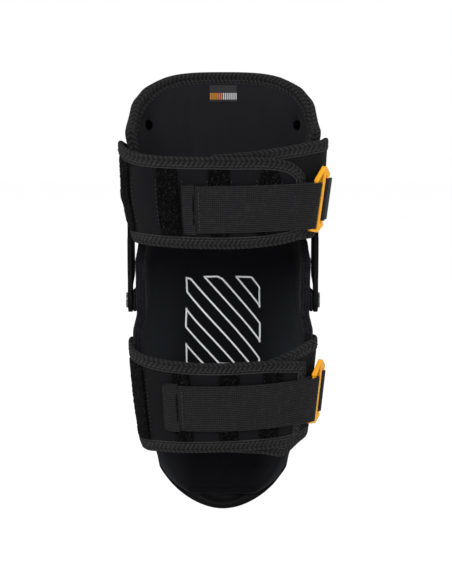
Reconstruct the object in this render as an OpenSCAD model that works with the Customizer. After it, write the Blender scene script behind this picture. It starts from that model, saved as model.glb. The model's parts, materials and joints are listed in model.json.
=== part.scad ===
/* [Leg size] */
// Half width of the thigh opening at the thigh pad's top
thigh_half_w = 95; // [90:1:96]
// Half width of the leg space at the knee hinges
knee_half_w = 81.4; // [79:0.2:81.4]
// Half width of the leg space at the middle of the calf wrap
calf_half_w = 79; // [76:1:80]
// Depth of the leg space in front of the hinge axis
front_depth = 64; // [60:1:70]

/* [Heights from the hinge axis] */
// Top of the thigh pad
thigh_top_z = 238; // [225:1:245]
// Lower edge of the thigh pad
thigh_low_z = 72; // [70:1:76]
// Top edge of the knee pad
knee_top_z = 60; // [54:1:62]
// Tip of the shin plate
tip_z = -243; // [-250:1:-235]

/* [Soft layers] */
// Thickness of the inner lining
liner_t = 2; // [1.5:0.1:2.5]
// Thickness of the foam
foam_t = 6.6; // [5:0.1:6.6]
// Thickness of the wrap wings
wing_t = 4; // [3:0.1:4.2]
// Width of the woven edge binding
binding_w = 12; // [8:0.5:14]
// Width of the elastic straps
strap_w = 47; // [40:1:50]
// Thickness of the elastic straps
strap_t = 1.8; // [1.2:0.1:2]

/* [Hard parts] */
// Thickness of the thigh plate
plate_t = 2.4; // [2:0.1:2.4]
// Thickness of the knee cap shell
cap_t = 2.9; // [2.4:0.1:2.9]
// Rise of the knee cap's dome
cap_dome = 15; // [8:1:20]
// Thickness of the side arms
arm_t = 4.6; // [4:0.1:4.6]
// Width of the side arms
arm_w = 24; // [18:1:26]
// Radius of the knee hinge pins
pin_r = 4; // [3:0.1:5]
// Height of the strap rings
ring_h = 68; // [66:1:70]

/* [Hidden] */

gap = 0.4;                 // space between two layers
fit_r = 0.05;              // radial running clearance
round_fn = 48;

fabric_black = "#242427";
binding_black = "#37373a";
foam_black = "#1b1b1d";
strap_grey = "#58595b";
plastic_black = "#1d1d1f";
rubber_black = "#151516";
ring_amber = "#f5a81c";
print_grey = "#c8c9cc";
steel_grey = "#8e9092";

// Half widths and depths of the leg space, as [height, value] stations
skin_w = [
    [tip_z, 50], [-200, 58.5], [-169, 66.5], [-130, 74.5], [-100, calf_half_w],
    [-36, knee_half_w + 1.6], [-14, knee_half_w - 0.3], [14, knee_half_w - 0.3],
    [36, knee_half_w + 1.6], [62, knee_half_w - 1.4], [104, knee_half_w - 0.8],
    [168, thigh_half_w - 5], [200, thigh_half_w], [thigh_top_z, thigh_half_w]
];
skin_front = [
    [tip_z, front_depth - 12], [-169, front_depth - 7], [-100, front_depth - 2],
    [0, front_depth], [120, front_depth + 2], [thigh_top_z, front_depth + 5]
];
skin_back = [[tip_z, 52], [-100, 60], [0, 62], [thigh_top_z, 66]];

// Outer half widths and back depths of the two wraps
thigh_wrap_w = [[58, 96], [84, 100.4], [104, 105.7], [130, 107], [160, 108.4], [176, 109.6]];
thigh_wrap_back = [[58, 73], [90, 76], [118, 78.5], [176, 80]];
calf_wrap_w = [[-160, 86], [-130, 91], [-100, 95], [-70, 98], [-36, 99.5]];
calf_wrap_back = [[-160, 66], [-100, 70], [-36, 73]];
wrap_front = [[-160, 70], [-100, 74], [-36, 77], [58, 78], [176, 84]];

pad_t = liner_t + gap + foam_t;        // full thickness of the padded layers
tongue_r = 71;                         // round end of the shin section
tongue_z = tip_z + tongue_r;
tongue_end = 20;                       // angle at which the round end meets the straight sides
liner_rise = 12;                       // half of the space between the lining and the tip

// ---------- curves ----------
function clamp01(x) = min(max(x, 0), 1);
function smooth(x) = let(c = clamp01(x)) c * c * (3 - 2 * c);
function segment(tab, x, i = 0) =
    i >= len(tab) - 2 || x < tab[i + 1][0] ? i : segment(tab, x, i + 1);
function slope(tab, i) =
    let(a = tab[max(i - 1, 0)], b = tab[min(i + 1, len(tab) - 1)]) (b[1] - a[1]) / (b[0] - a[0]);

// Smooth curve through the stations of a table, by cubic pieces
function curve(tab, x) =
    let(
        i = segment(tab, x), p = tab[i], q = tab[i + 1], d = q[0] - p[0],
        s = clamp01((x - p[0]) / d), s2 = s * s, s3 = s2 * s
    )
    (2 * s3 - 3 * s2 + 1) * p[1] + (s3 - 2 * s2 + s) * d * slope(tab, i)
    + (3 * s2 - 2 * s3) * q[1] + (s3 - s2) * d * slope(tab, i + 1);

// Plan point on the leg space at angle t (0 = right, 90 = front), moved out by off
function skin(t, z, off) = [
    (curve(skin_w, z) + off) * cos(t),
    (curve(sin(t) > 0 ? skin_front : skin_back, z) + off) * sin(t)
];

// Plan point on the outer face of a wrap, moved out by off
function wrap(t, z, off) =
    let(
        thigh = z > 0, w = thigh ? thigh_wrap_w : calf_wrap_w,
        b = thigh ? thigh_wrap_back : calf_wrap_back
    )
    [(curve(w, z) + off) * cos(t), (curve(sin(t) > 0 ? wrap_front : b, z) + off) * sin(t)];

function quad(a, b, c, d) = [[a, b, c], [a, c, d]];

// A curved panel: u runs along it, z from low(u) to high(u), between two plan-point functions
module sheet(u0, u1, nu, nz, low, high, inner, outer) {
    points = [
        for (i = [0:nu], j = [0:nz], s = [0:1])
        let(u = u0 + (u1 - u0) * i / nu, z = low(u) + (high(u) - low(u)) * j / nz)
        let(p = s == 0 ? inner(u, z) : outer(u, z)) [p[0], p[1], z]
    ];
    at = function (i, j, s) (i * (nz + 1) + j) * 2 + s;
    faces = concat(
        [for (i = [0:nu - 1], j = [0:nz - 1])
            each quad(at(i, j, 1), at(i, j + 1, 1), at(i + 1, j + 1, 1), at(i + 1, j, 1))],
        [for (i = [0:nu - 1], j = [0:nz - 1])
            each quad(at(i, j, 0), at(i + 1, j, 0), at(i + 1, j + 1, 0), at(i, j + 1, 0))],
        [for (i = [0:nu - 1]) each quad(at(i, nz, 0), at(i + 1, nz, 0), at(i + 1, nz, 1), at(i, nz, 1))],
        [for (i = [0:nu - 1]) each quad(at(i, 0, 0), at(i, 0, 1), at(i + 1, 0, 1), at(i + 1, 0, 0))],
        [for (j = [0:nz - 1]) each quad(at(0, j, 0), at(0, j + 1, 0), at(0, j + 1, 1), at(0, j, 1))],
        [for (j = [0:nz - 1]) each quad(at(nu, j, 0), at(nu, j, 1), at(nu, j + 1, 1), at(nu, j + 1, 0))]
    );
    polyhedron(points = points, faces = faces, convexity = 6);
}

// A panel between two offsets from the leg space
module skin_sheet(u0, u1, nu, nz, low, high, off_in, off_out) {
    sheet(
        u0, u1, nu, nz, low, high,
        function (t, z) skin(t, z, off_in), function (t, z) skin(t, z, off_out)
    );
}

// A panel on a wrap; off(t) is its outer face's distance from the wrap's outer face
module wrap_sheet(u0, u1, nu, nz, low, high, off, thickness) {
    sheet(
        u0, u1, nu, nz, low, high,
        function (t, z) wrap(t, z, off(t) - thickness), function (t, z) wrap(t, z, off(t))
    );
}

function from_front(t) = abs(t - 90);

// ---------- outlines of the pads ----------
thigh_arch_z = 150;
arch_power = 3.2;
thigh_arch_w = thigh_half_w + pad_t + 1;

// Height of the thigh pad's arch over the plan position at angle t
function arch_top(t, inset) =
    let(x = abs((thigh_half_w + pad_t) * cos(t)) / thigh_arch_w, rise = max(1 - pow(x, arch_power), 0))
    thigh_arch_z + (thigh_top_z - thigh_arch_z) * pow(rise, 1 / arch_power) - inset;

// Lower edge of the round end at angle t, ending rise above its tip
function tongue_low(t, rise) =
    let(x = abs(tongue_r * cos(t) / cos(tongue_end)))
    x < tongue_r ? tongue_z + rise - sqrt(tongue_r * tongue_r - x * x) * (1 - rise / tongue_r)
    : tongue_z + rise;

pad_side_t = 4;            // the knee pad reaches this many degrees behind the hinge axis
side_low_z = -146;
tongue_u = 66;             // the round end spans this many degrees each side of the front
function pad_low(t) =
    let(f = from_front(t), corner = tongue_low(90 - tongue_u, liner_rise))
    f < tongue_u ? tongue_low(t, liner_rise)
    : corner + (side_low_z - corner) * smooth((f - tongue_u) / 20);
function pad_high(t) = knee_top_z - 6 * smooth((from_front(t) - 80) / 14);

// ---------- thigh section ----------
function thigh_low(t) = thigh_low_z + 6 * smooth((90 - from_front(t)) / 60);
thigh_u0 = -4;             // the thigh pad's two ends, in degrees
thigh_u1 = 184;

button_t = 34.6;           // angle of the two pad buttons
button_z = 182;
button_r = 2.6;
button_sink = 2.9;         // the heads sit this deep in the pad
button_head_t = 1.6;
pocket_r = 6.5;
// Points a child's +Z out of the pad at one button
module at_button(side) {
    t = side > 0 ? button_t : 180 - button_t;
    p = skin(t, button_z, 0);
    a = curve(skin_w, button_z);
    b = curve(skin_front, button_z);
    translate([p[0], p[1], button_z])
    rotate([0, 0, atan2(sin(t) / b, cos(t) / a)])
    rotate([0, 90, 0]) children();
}

module button_holes(r) {
    for (side = [-1, 1]) at_button(side)
        translate([0, 0, -5]) cylinder(r = r, h = 30, $fn = round_fn);
}

module button_pockets() {
    for (side = [-1, 1]) at_button(side)
        translate([0, 0, -5]) cylinder(
            r = pocket_r, h = 5 + button_sink + button_head_t + 0.1, $fn = round_fn
        );
}

module thigh_liner() {
    color(fabric_black) difference() {
        skin_sheet(
            thigh_u0, thigh_u1, 40, 8, function (t) thigh_low(t) + 2, function (t) arch_top(t, binding_w),
            0, liner_t
        );
        button_pockets();
    }
}

module thigh_foam() {
    color(foam_black) difference() {
        skin_sheet(
            thigh_u0, thigh_u1, 40, 8, function (t) thigh_low(t) + 2, function (t) arch_top(t, binding_w),
            liner_t + gap, pad_t
        );
        button_holes(button_r + 0.2);
        button_pockets();
        arm_rivet_pockets();
    }
}

module thigh_binding() {
    color(binding_black) {
        skin_sheet(
            thigh_u0, thigh_u1, 40, 1, function (t) arch_top(t, binding_w) + 0.3, function (t) arch_top(t, 0),
            -1, pad_t + 1
        );
        skin_sheet(
            thigh_u0, thigh_u1, 40, 1, function (t) thigh_low(t) - 4, function (t) thigh_low(t) + 1.7,
            0, pad_t - 0.4
        );
        for (u = [thigh_u0 - 4.2, thigh_u1 + 0.2])
            skin_sheet(
                u, u + 4, 1, 8, function (t) thigh_low(t) + 2, function (t) arch_top(thigh_u0, 0) - 1,
                -1, pad_t + 1
            );
    }
}

tag_w = 15;
tag_top_z = 224;
tag_h = 18;
module thigh_tag() {
    half = asin(tag_w / thigh_half_w);
    color(strap_grey)
        skin_sheet(
            90 - half, 90 + half, 4, 1, function (t) tag_top_z - tag_h, function (t) tag_top_z, -1.5, -0.3
        );
}

plate_gap = 0.9;           // space between the foam and the hard plates
plate_in = pad_t + plate_gap;
plate_high = [[0, 216], [40, 212], [56, 202], [66, 172], [74, 130], [80, 122], [100, 122]];
module thigh_plate() {
    color(plastic_black) difference() {
        skin_sheet(
            thigh_u0, thigh_u1, 40, 8, function (t) thigh_low(t) + 4,
            function (t) curve(plate_high, from_front(t)), plate_in, plate_in + plate_t
        );
        button_holes(button_r + fit_r);
        arm_rivet_bores();
        for (k = [-2:2]) vent(90 + 13 * k, 150);
    }
}

// A tall slot with round ends through the front of the thigh plate
module vent(t, z) {
    vent_r = 4;
    vent_h = 44;
    p = skin(t, z, 0);
    translate([p[0], p[1], z]) rotate([0, 0, t - 90]) rotate([-90, 0, 0]) {
        translate([-vent_r, -vent_h / 2, 0]) cube([2 * vent_r, vent_h, 30]);
        for (s = [-1, 1]) translate([0, s * vent_h / 2, 0]) cylinder(r = vent_r, h = 30, $fn = round_fn);
    }
}

module thigh_buttons() {
    back = plate_in + plate_t + 0.8;
    color(rubber_black) for (side = [-1, 1]) at_button(side) {
        translate([0, 0, button_sink]) cylinder(r = 5, h = button_head_t, $fn = round_fn);
        translate([0, 0, button_sink + 0.5])
            cylinder(r = button_r, h = back - button_sink, $fn = round_fn);
        translate([0, 0, back]) cylinder(r = 6, h = button_head_t, $fn = round_fn);
    }
}

// ---------- wraps ----------
// Upper and lower edges of the wings, as [angle, height] stations
thigh_left_top = [
    [158, 161], [180, 167], [211, 157], [232, 154], [270, 153], [297, 152], [312, 146], [324, 131]
];
thigh_left_low = [[190, 66], [202, 63], [270, 61], [300, 63], [324, 68]];
thigh_right_top = [[-97, 155], [-75, 158], [-45, 164], [0, 170], [22, 164]];
thigh_right_low = [[-97, 66], [-45, 66], [-12, 68]];
calf_left_top = [[160, -43], [180, -40], [192, -47], [225, -53], [255, -55], [300, -54], [336, -60]];
calf_left_low = [
    [160, -144], [180, -147], [197, -155], [225, -152], [270, -148], [305, -147], [320, -147], [336, -142]
];
calf_right_top = [[-97, -64], [-60, -55], [-35, -45], [0, -38], [20, -40]];
calf_right_low = [[-97, -148], [-60, -153], [-40, -159], [-25, -153], [0, -143], [20, -141]];

thigh_tip_t = 324;
calf_tip_t = 336;
underlap_t = -97;          // the right wings end here, under the left wings
seam_left_t = 160;
seam_right_t = 20;
edge = 0.2;                // space between a wing and its binding

// Lower edge of a wing: the thigh wings step up where they pass over an arm
arm_clear_z = 105;
arm_clear_t = 7;           // degrees behind the side that the arms reach
function wing_low(low, t) =
    let(behind = t > 90 ? t - 180 : -t, z = curve(low, t))
    low[0][1] < 0 ? z : z + (arm_clear_z - z) * (1 - smooth((behind - arm_clear_t) / 7));

// The right wings run inside the left wings at the back and come out at the side
function under(t, from) = -(wing_t + 1.8) * (1 - smooth((t - from) / 12));
thigh_under = -31;
calf_under = -19;

module wing(u0, u1, top, low, off) {
    wrap_sheet(
        u0, u1, 40, 2, function (t) wing_low(low, t) + binding_w + edge,
        function (t) curve(top, t) - binding_w - edge, off, wing_t
    );
}

// Woven binding along the top, the bottom and the free end of a wing
module wing_binding(u0, u1, top, low, off, end_u) {
    extra = 0.5;
    thick = wing_t + 2 * extra;
    raised = function (t) off(t) + extra;
    wrap_sheet(
        u0, u1, 40, 1, function (t) curve(top, t) - binding_w, function (t) curve(top, t), raised, thick
    );
    wrap_sheet(
        u0, u1, 40, 1, function (t) wing_low(low, t), function (t) wing_low(low, t) + binding_w, raised, thick
    );
    wrap_sheet(
        end_u, end_u + 4, 1, 2, function (t) wing_low(low, t) + 2, function (t) curve(top, t) - 2,
        raised, thick
    );
}

module thigh_wing_left() {
    color(fabric_black) wing(seam_left_t, thigh_tip_t, thigh_left_top, thigh_left_low, function (t) 0);
}

module thigh_wing_left_binding() {
    color(binding_black) wing_binding(
        seam_left_t, thigh_tip_t, thigh_left_top, thigh_left_low, function (t) 0, thigh_tip_t + 0.2
    );
}

module thigh_wing_right() {
    color(fabric_black) wing(
        underlap_t, seam_right_t, thigh_right_top, thigh_right_low, function (t) under(t, thigh_under)
    );
}

module thigh_wing_right_binding() {
    color(binding_black) wing_binding(
        underlap_t, seam_right_t, thigh_right_top, thigh_right_low,
        function (t) under(t, thigh_under), underlap_t - 4.2
    );
}

module calf_wing_left() {
    color(fabric_black) wing(seam_left_t, calf_tip_t, calf_left_top, calf_left_low, function (t) 0);
}

module calf_wing_left_binding() {
    color(binding_black) wing_binding(
        seam_left_t, calf_tip_t, calf_left_top, calf_left_low, function (t) 0, calf_tip_t + 0.2
    );
}

module calf_wing_right() {
    color(fabric_black) wing(
        underlap_t, seam_right_t, calf_right_top, calf_right_low, function (t) under(t, calf_under)
    );
}

module calf_wing_right_binding() {
    color(binding_black) wing_binding(
        underlap_t, seam_right_t, calf_right_top, calf_right_low,
        function (t) under(t, calf_under), underlap_t - 4.2
    );
}

// ---------- loop strips ----------
strip_t = 1.2;
strip_off = 0.5 + strip_t;
thigh_strips = [[192, 207], [232, 245.5], [262.4, 273.5], [290, 302]];
calf_strips = [[190, 213], [238.3, 250.4], [268, 280], [294, 308]];

module loop_strips(spans, top, low) {
    for (span = spans)
        wrap_sheet(
            span[0], span[1], 4, 2, function (t) wing_low(low, t) + binding_w + 2,
            function (t) curve(top, t) - binding_w - 2, function (t) strip_off, strip_t
        );
}

module thigh_loop_strips() {
    color(rubber_black) loop_strips(thigh_strips, thigh_left_top, thigh_left_low);
}

module calf_loop_strips() {
    color(rubber_black) loop_strips(calf_strips, calf_left_top, calf_left_low);
}

// ---------- straps, rings and keepers ----------
// One strap set is [fold angle, middle height, slope of height per degree, tab start, tab end, ring turn]
thigh_set = [326, 103, 0.03, 247.6, 255.2, 33];
calf_set = [335, -99, 0.035, 231.4, 242.9, 27];

bar_r = 2.3;
fold_r = 5;                // middle radius of the strap's fold round the ring's bar
back_off = 1 + strap_t / 2;
front_off = strip_off + 0.4 + strap_t / 2;
fold_off = back_off + fold_r;
sewn_span = 14;            // degrees of the strap sewn on the wing's tip

function strap_mid(set, t) = set[1] + set[2] * (t - set[0]);

// Distance of the strap's front layer from the wrap; it lifts over the sewn end and the ring's bar
function front_lift(set, t) =
    front_off + (back_off + 2 * fold_r - front_off) * smooth(1 - (set[0] - t) / 24);

// Unit vector along the wrap at the fold
function fold_along(set) =
    let(a = wrap(set[0] - 1, set[1], fold_off), b = wrap(set[0] + 1, set[1], fold_off))
    (b - a) / norm(b - a);

// Middle line of the strap: 0 to 1 the front layer, 1 to 2 the fold, 2 to 3 the sewn back layer
function strap_line(set, u, z) =
    let(
        start = set[4] + 0.3, fold = set[0], c = wrap(fold, z, fold_off), along = fold_along(set),
        out = [along[1], -along[0]], turn = 180 * (u - 1)
    )
    u <= 1 ? (let(t = start + (fold - start) * u) wrap(t, z, front_lift(set, t)))
    : u < 2 ? c + fold_r * (cos(turn) * out + sin(turn) * along)
    : wrap(fold - sewn_span * (u - 2), z, back_off);

// One side of the strap, at distance off to the right of its middle line
function strap_side(set, u, z, off) =
    let(
        a = strap_line(set, max(u - 0.02, 0), z), b = strap_line(set, min(u + 0.02, 3), z),
        d = (b - a) / norm(b - a)
    )
    strap_line(set, u, z) + off * [d[1], -d[0]];

function strap_angle(set, u) =
    u <= 1 ? set[4] + (set[0] - set[4]) * u : u < 2 ? set[0] : set[0] - sewn_span * (u - 2);

module strap(set) {
    low = function (u) strap_mid(set, strap_angle(set, u)) - strap_w / 2;
    high = function (u) low(u) + strap_w;
    sheet(
        0, 3, 54, 2, low, high,
        function (u, z) strap_side(set, u, z, -strap_t / 2),
        function (u, z) strap_side(set, u, z, strap_t / 2)
    );
}

module strap_tab(set) {
    tab_extra = 1.5;
    wrap_sheet(
        set[3], set[4], 4, 1, function (t) strap_mid(set, t) - strap_w / 2 - tab_extra,
        function (t) strap_mid(set, t) + strap_w / 2 + tab_extra,
        function (t) front_off + strap_t / 2, strap_t
    );
}

module thigh_strap() {
    color(strap_grey) strap(thigh_set);
}

module thigh_strap_tab() {
    color(strap_grey) strap_tab(thigh_set);
}

module calf_strap() {
    color(strap_grey) strap(calf_set);
}

module calf_strap_tab() {
    color(strap_grey) strap_tab(calf_set);
}

// Puts a child's origin at the middle of the folded strap, its Z along the ring's bars
// and its Y across the ring, away from the fold
module at_ring(set) {
    half = strap_w / 2;
    mid = wrap(set[0], set[1], fold_off);
    top = wrap(set[0], set[1] + half, fold_off);
    low = wrap(set[0], set[1] - half, fold_off);
    lean = atan((top[0] - low[0]) / strap_w);
    c = 0.35 * (top + low) + 0.3 * mid;
    translate([c[0], c[1], set[1]])
    rotate([0, lean, 0]) rotate([0, 0, -set[5]]) translate([0, 0, ring_rise]) children();
}

slot_w = 11.5;             // distance from the fold's bar to the middle bar
keeper_w = 7.4;            // distance from the middle bar to the keeper's bar
keeper_h = 48;
slot_low = 30.6;           // the strap's slot reaches this far below the ring's middle
slot_high = 17.6;          // and this far above it at the fold
ring_rise = 6.5;           // the ring and the keeper sit higher than the strap
keeper_half = 24.8;        // half height of the keeper's slot

// A flat loop with a slot for the strap and one for the keeper; both end bars are round
module ring(set) {
    far_y = slot_w + keeper_w;
    end_z = ring_h / 2 - bar_r;
    far_z = keeper_half + bar_r - 1;
    post = 2 * bar_r;
    corners = [
        [0, -slot_low], [slot_w, -end_z], [far_y, -far_z], [far_y, far_z], [slot_w, end_z],
        [0, slot_high + bar_r / 2]
    ];
    at_ring(set) {
        rotate([90, 0, 90]) translate([0, 0, -bar_r]) linear_extrude(2 * bar_r) difference() {
            hull() for (c = corners) translate(c) circle(r = bar_r, $fn = 32);
            polygon([
                [-bar_r - 1, -slot_low], [slot_w - post / 2, -slot_low], [slot_w - post / 2, end_z - bar_r],
                [0, slot_high], [-bar_r - 1, slot_high]
            ]);
            translate([slot_w + post / 2, -keeper_half]) square([keeper_w + post, 2 * keeper_half]);
        }
        round_bar(0, -slot_low - 2, slot_high + 2);
        round_bar(far_y, -keeper_half - 2, keeper_half + 2);
    }
}
module round_bar(y, low, high) {
    translate([0, y, low]) cylinder(r = bar_r, h = high - low, $fn = round_fn);
}

module thigh_ring() {
    color(ring_amber) ring(thigh_set);
}

module calf_ring() {
    color(ring_amber) ring(calf_set);
}

// Webbing loop that holds the ring's far bar and runs forward to its sewn end;
// tail is [turn in degrees, length]
module keeper(set, tail) {
    web_t = 1.5;
    loop_in = bar_r + 0.08;
    at_ring(set) translate([0, slot_w + keeper_w, -keeper_h / 2]) rotate([0, 0, tail[0]]) difference() {
        union() {
            rotate([0, 0, 200]) cylinder(r = loop_in + web_t, h = keeper_h, $fn = round_fn);
            translate([loop_in - web_t, 0, 0]) cube([2 * web_t - 0.2, tail[1], keeper_h]);
        }
        translate([0, 0, -1]) rotate([0, 0, 200])
            cylinder(r = loop_in, h = keeper_h + 2, $fn = round_fn);
    }
}

module thigh_keeper() {
    color(rubber_black) keeper(thigh_set, [24, 26]);
}

module calf_keeper() {
    color(rubber_black) keeper(calf_set, [26, 24]);
}

// ---------- side arms and hinges ----------
arm_in = 94.8;
arm_top_z = 116;
arm_y = 3;                 // the arms lean forward by this much at the top
arm_boss_r = 12.6;
// The stay that thickens an arm's free part, as [height, inner face, outer face, radius]
stay = [[61, 92.6, 99.9, 8], [33, 92.6, 99.9, 8], [20, 95, 99.6, 7.5]];
rivet_r = 2.5;
rivet_z = [88, 105];

module arm_outline() {
    hull() {
        circle(r = arm_boss_r, $fn = 32);
        translate([arm_y, 40]) circle(r = arm_w / 2 - 1.5, $fn = 32);
    }
    hull() {
        translate([arm_y, 40]) circle(r = arm_w / 2 - 1.5, $fn = 32);
        translate([arm_y, arm_top_z - arm_w / 2]) circle(r = arm_w / 2, $fn = 32);
    }
}

module arm(side) {
    difference() {
        union() {
            translate([side > 0 ? arm_in : -arm_in - arm_t, 0, 0])
                rotate([90, 0, 90]) linear_extrude(arm_t) arm_outline();
            hull() for (s = stay) translate([0, arm_y, s[0]]) outward(side)
                translate([0, 0, s[1]]) cylinder(r = s[3], h = s[2] - s[1], $fn = 32);
        }
        outward(side) cylinder(r = pin_r + fit_r, h = 120, $fn = round_fn);
        for (z = rivet_z) arm_rivet_axis(side, z) {
            cylinder(r = rivet_r + fit_r, h = 120, $fn = round_fn);
            translate([0, 0, arm_in + arm_t - 1.5]) cylinder(r = 4.5, h = 4, $fn = round_fn);
        }
    }
}

module arm_left() {
    color(plastic_black) arm(-1);
}

module arm_right() {
    color(plastic_black) arm(1);
}

// Turns a child's +Z outward along the hinge axis of one side
module outward(side) {
    rotate([0, side > 0 ? 90 : -90, 0]) children();
}

module arm_rivet_axis(side, z) {
    translate([0, arm_y, z]) outward(side) children();
}

module arm_rivet_bores() {
    for (side = [-1, 1], z = rivet_z) arm_rivet_axis(side, z)
        cylinder(r = rivet_r + fit_r, h = 110, $fn = round_fn);
}

rivet_inner = 87.6;
module arm_rivet_pockets() {
    for (side = [-1, 1], z = rivet_z) arm_rivet_axis(side, z)
        translate([0, 0, rivet_inner - 0.3]) cylinder(r = 5.4, h = 8, $fn = round_fn);
}

module arm_rivets() {
    head = 1.3;
    color(steel_grey) for (side = [-1, 1], z = rivet_z) arm_rivet_axis(side, z) {
        translate([0, 0, rivet_inner]) cylinder(r = 5, h = 1.4, $fn = round_fn);
        translate([0, 0, rivet_inner])
            cylinder(r = rivet_r, h = arm_in + arm_t - rivet_inner - 0.1, $fn = round_fn);
        translate([0, 0, arm_in + arm_t - head - 0.1]) cylinder(r = 4.3, h = head, $fn = round_fn);
    }
}

washer_t = 0.4;
washer_black = "#2b2b2d";
boss_in = 91.3;
boss_out = 94.2;
module hinge_pins() {
    head_t = 2;
    inner_head = 0.9;
    color(steel_grey) for (side = [-1, 1]) outward(side) {
        translate([0, 0, boss_in - 0.1])
            cylinder(r = pin_r, h = arm_in + arm_t + 0.2 - boss_in, $fn = round_fn);
        translate([0, 0, arm_in + arm_t + 0.05]) cylinder(r = 8, h = head_t, $fn = round_fn);
        translate([0, 0, boss_in]) cylinder(r = pin_r + 2, h = inner_head, $fn = round_fn);
    }
}

module hinge_washers() {
    color(washer_black) for (side = [-1, 1]) outward(side) difference() {
        translate([0, 0, boss_out + 0.1]) cylinder(r = 10, h = washer_t, $fn = round_fn);
        translate([0, 0, boss_out]) cylinder(r = pin_r + fit_r, h = 1, $fn = round_fn);
    }
}

// ---------- knee and shin section ----------
dome_low_z = -72;
dome_high_z = 66;
// Extra distance of the cap from the leg, over its front
function dome(t, z) =
    let(v = (z - (dome_low_z + dome_high_z) / 2) / (dome_high_z - dome_low_z) * 2)
    cap_dome * pow(cos(90 * clamp01(from_front(t) / 62)), 2) * max(1 - v * v, 0);

// The foam fills the dome but stays clear of its edge
function foam_dome(t, z) = 0.8 * dome(t, 1.25 * z + 0.6);

module pad_liner() {
    color(fabric_black) skin_sheet(
        -pad_side_t, 180 + pad_side_t, 47, 10, function (t) pad_low(t), function (t) pad_high(t),
        0, liner_t
    );
}

module pad_foam() {
    color(foam_black) difference() {
        sheet(
            -pad_side_t, 180 + pad_side_t, 47, 10, function (t) pad_low(t), function (t) pad_high(t),
            function (t, z) skin(t, z, liner_t + gap), function (t, z) skin(t, z, pad_t + foam_dome(t, z))
        );
        skin_sheet(
            gel_u0 - 0.6, gel_u1 + 0.6, 10, 5, function (t) gel_low - 0.6, function (t) gel_high + 0.6,
            liner_t, liner_t + gap + gel_t + 0.3
        );
        cap_rivet_holes(cap_rivet_r + 0.3);
    }
}

gel_u0 = 58;
gel_u1 = 122;
gel_low = -62;
gel_high = 36;
gel_t = 4.2;
gel_blue = "#7d8a99";
module gel_insert() {
    color(gel_blue) skin_sheet(
        gel_u0, gel_u1, 10, 5, function (t) gel_low, function (t) gel_high,
        liner_t + gap, liner_t + gap + gel_t
    );
}

module pad_binding() {
    rim = 6;
    rim_u = 16;
    color(binding_black) {
        skin_sheet(
            -pad_side_t, 180 + pad_side_t, 47, 1, function (t) pad_high(t) + 0.3,
            function (t) pad_high(t) + rim, -0.6, pad_t + 0.6
        );
        skin_sheet(
            rim_u, 180 - rim_u, 37, 1, function (t) pad_low(t) - rim, function (t) pad_low(t) - 0.3,
            -0.4, pad_t - 0.2
        );
        for (u = [-pad_side_t - 6.2, 180 + pad_side_t + 0.2])
            skin_sheet(
                u, u + 6, 1, 10, function (t) side_low_z, function (t) knee_top_z - 6, -0.6, pad_t + 0.2
            );
    }
}

// Slanted raised stripes printed on the lining in front of the kneecap
print_u = 31;
print_high = 18;
print_low = -80;
print_mid = -35;           // height of the middle stripe at the front
print_stripes = 2;         // stripes on each side of the middle one
module grip_print() {
    cut = 1.544;           // rise of a stripe per degree
    half = 11.2;           // half height of a stripe
    pitch = 38.9;
    tip = 1;               // least height at a stripe's pointed end
    color(print_grey) for (k = [-print_stripes:print_stripes]) {
        mid = print_mid + pitch * k;
        u0 = max(90 - print_u, 90 + (print_low + tip - half - mid) / cut);
        u1 = min(90 + print_u, 90 + (print_high - tip + half - mid) / cut);
        skin_sheet(
            u0, u1, 12, 1, function (t) max(print_low, mid + (t - 90) * cut - half),
            function (t) min(print_high, mid + (t - 90) * cut + half), -0.9, -0.4
        );
    }
}

cap_in = pad_t + plate_gap;
cap_edge = [[0, 66], [40, 64], [58, 56], [68, 34], [78, 15], [84, 11.5], [100, 11.5]];
cap_low_edge = [[0, -72], [40, -70], [58, -60], [68, -34], [78, -15], [84, -11.5], [100, -11.5]];
module knee_cap() {
    color(plastic_black) difference() {
        union() {
            sheet(
                -7, 187, 44, 10, function (t) curve(cap_low_edge, from_front(t)),
                function (t) curve(cap_edge, from_front(t)),
                function (t, z) skin(t, z, cap_in + dome(t, z)),
                function (t, z) skin(t, z, cap_in + cap_t + dome(t, z))
            );
            for (side = [-1, 1]) outward(side) translate([0, 0, boss_in])
                cylinder(r = arm_boss_r - 0.4, h = boss_out - boss_in, $fn = round_fn);
        }
        for (side = [-1, 1]) outward(side) {
            translate([0, 0, 80]) cylinder(r = pin_r, h = 20, $fn = round_fn);
            translate([0, 0, boss_in - 2]) cylinder(r = pin_r + 2.1, h = 3, $fn = round_fn);
        }
        cap_rivet_holes(cap_rivet_r);
    }
}

tread_t = 4;
tread_rows = 7;
tread_u = 34;
tread_high = 50;
tread_low = -58;
// Height of the tread's ribs over its base
function rib(t, z) =
    let(v = (z - tread_low) / (tread_high - tread_low))
    1.4 + (tread_t - 1.4) * smooth(0.5 + 1.6 * sin(360 * tread_rows * v - 90) + 0.3);

block_u = 15;              // half width of the flat kneeling block, in degrees
block_high = 32;
block_low = -38;
block_y = 97;              // the flat face's distance in front of the hinge axis
tread_in = function (t, z) skin(t, z, cap_in + cap_t + gap + dome(t, z));

module knee_tread() {
    color(rubber_black) {
        sheet(
            90 - tread_u, 90 + tread_u, 14, tread_rows * 4,
            function (t) tread_low + 8 * pow(from_front(t) / tread_u, 2),
            function (t) tread_high - 8 * pow(from_front(t) / tread_u, 2),
            tread_in, function (t, z) skin(t, z, cap_in + cap_t + gap + dome(t, z) + rib(t, z))
        );
        difference() {
            sheet(
                90 - block_u, 90 + block_u, 8, 8, function (t) block_low, function (t) block_high,
                tread_in, function (t, z) [skin(t, z, 0)[0], block_y + 6]
            );
            translate([-50, block_y, block_low - 1]) cube([100, 20, block_high - block_low + 2]);
        }
    }
}

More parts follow.
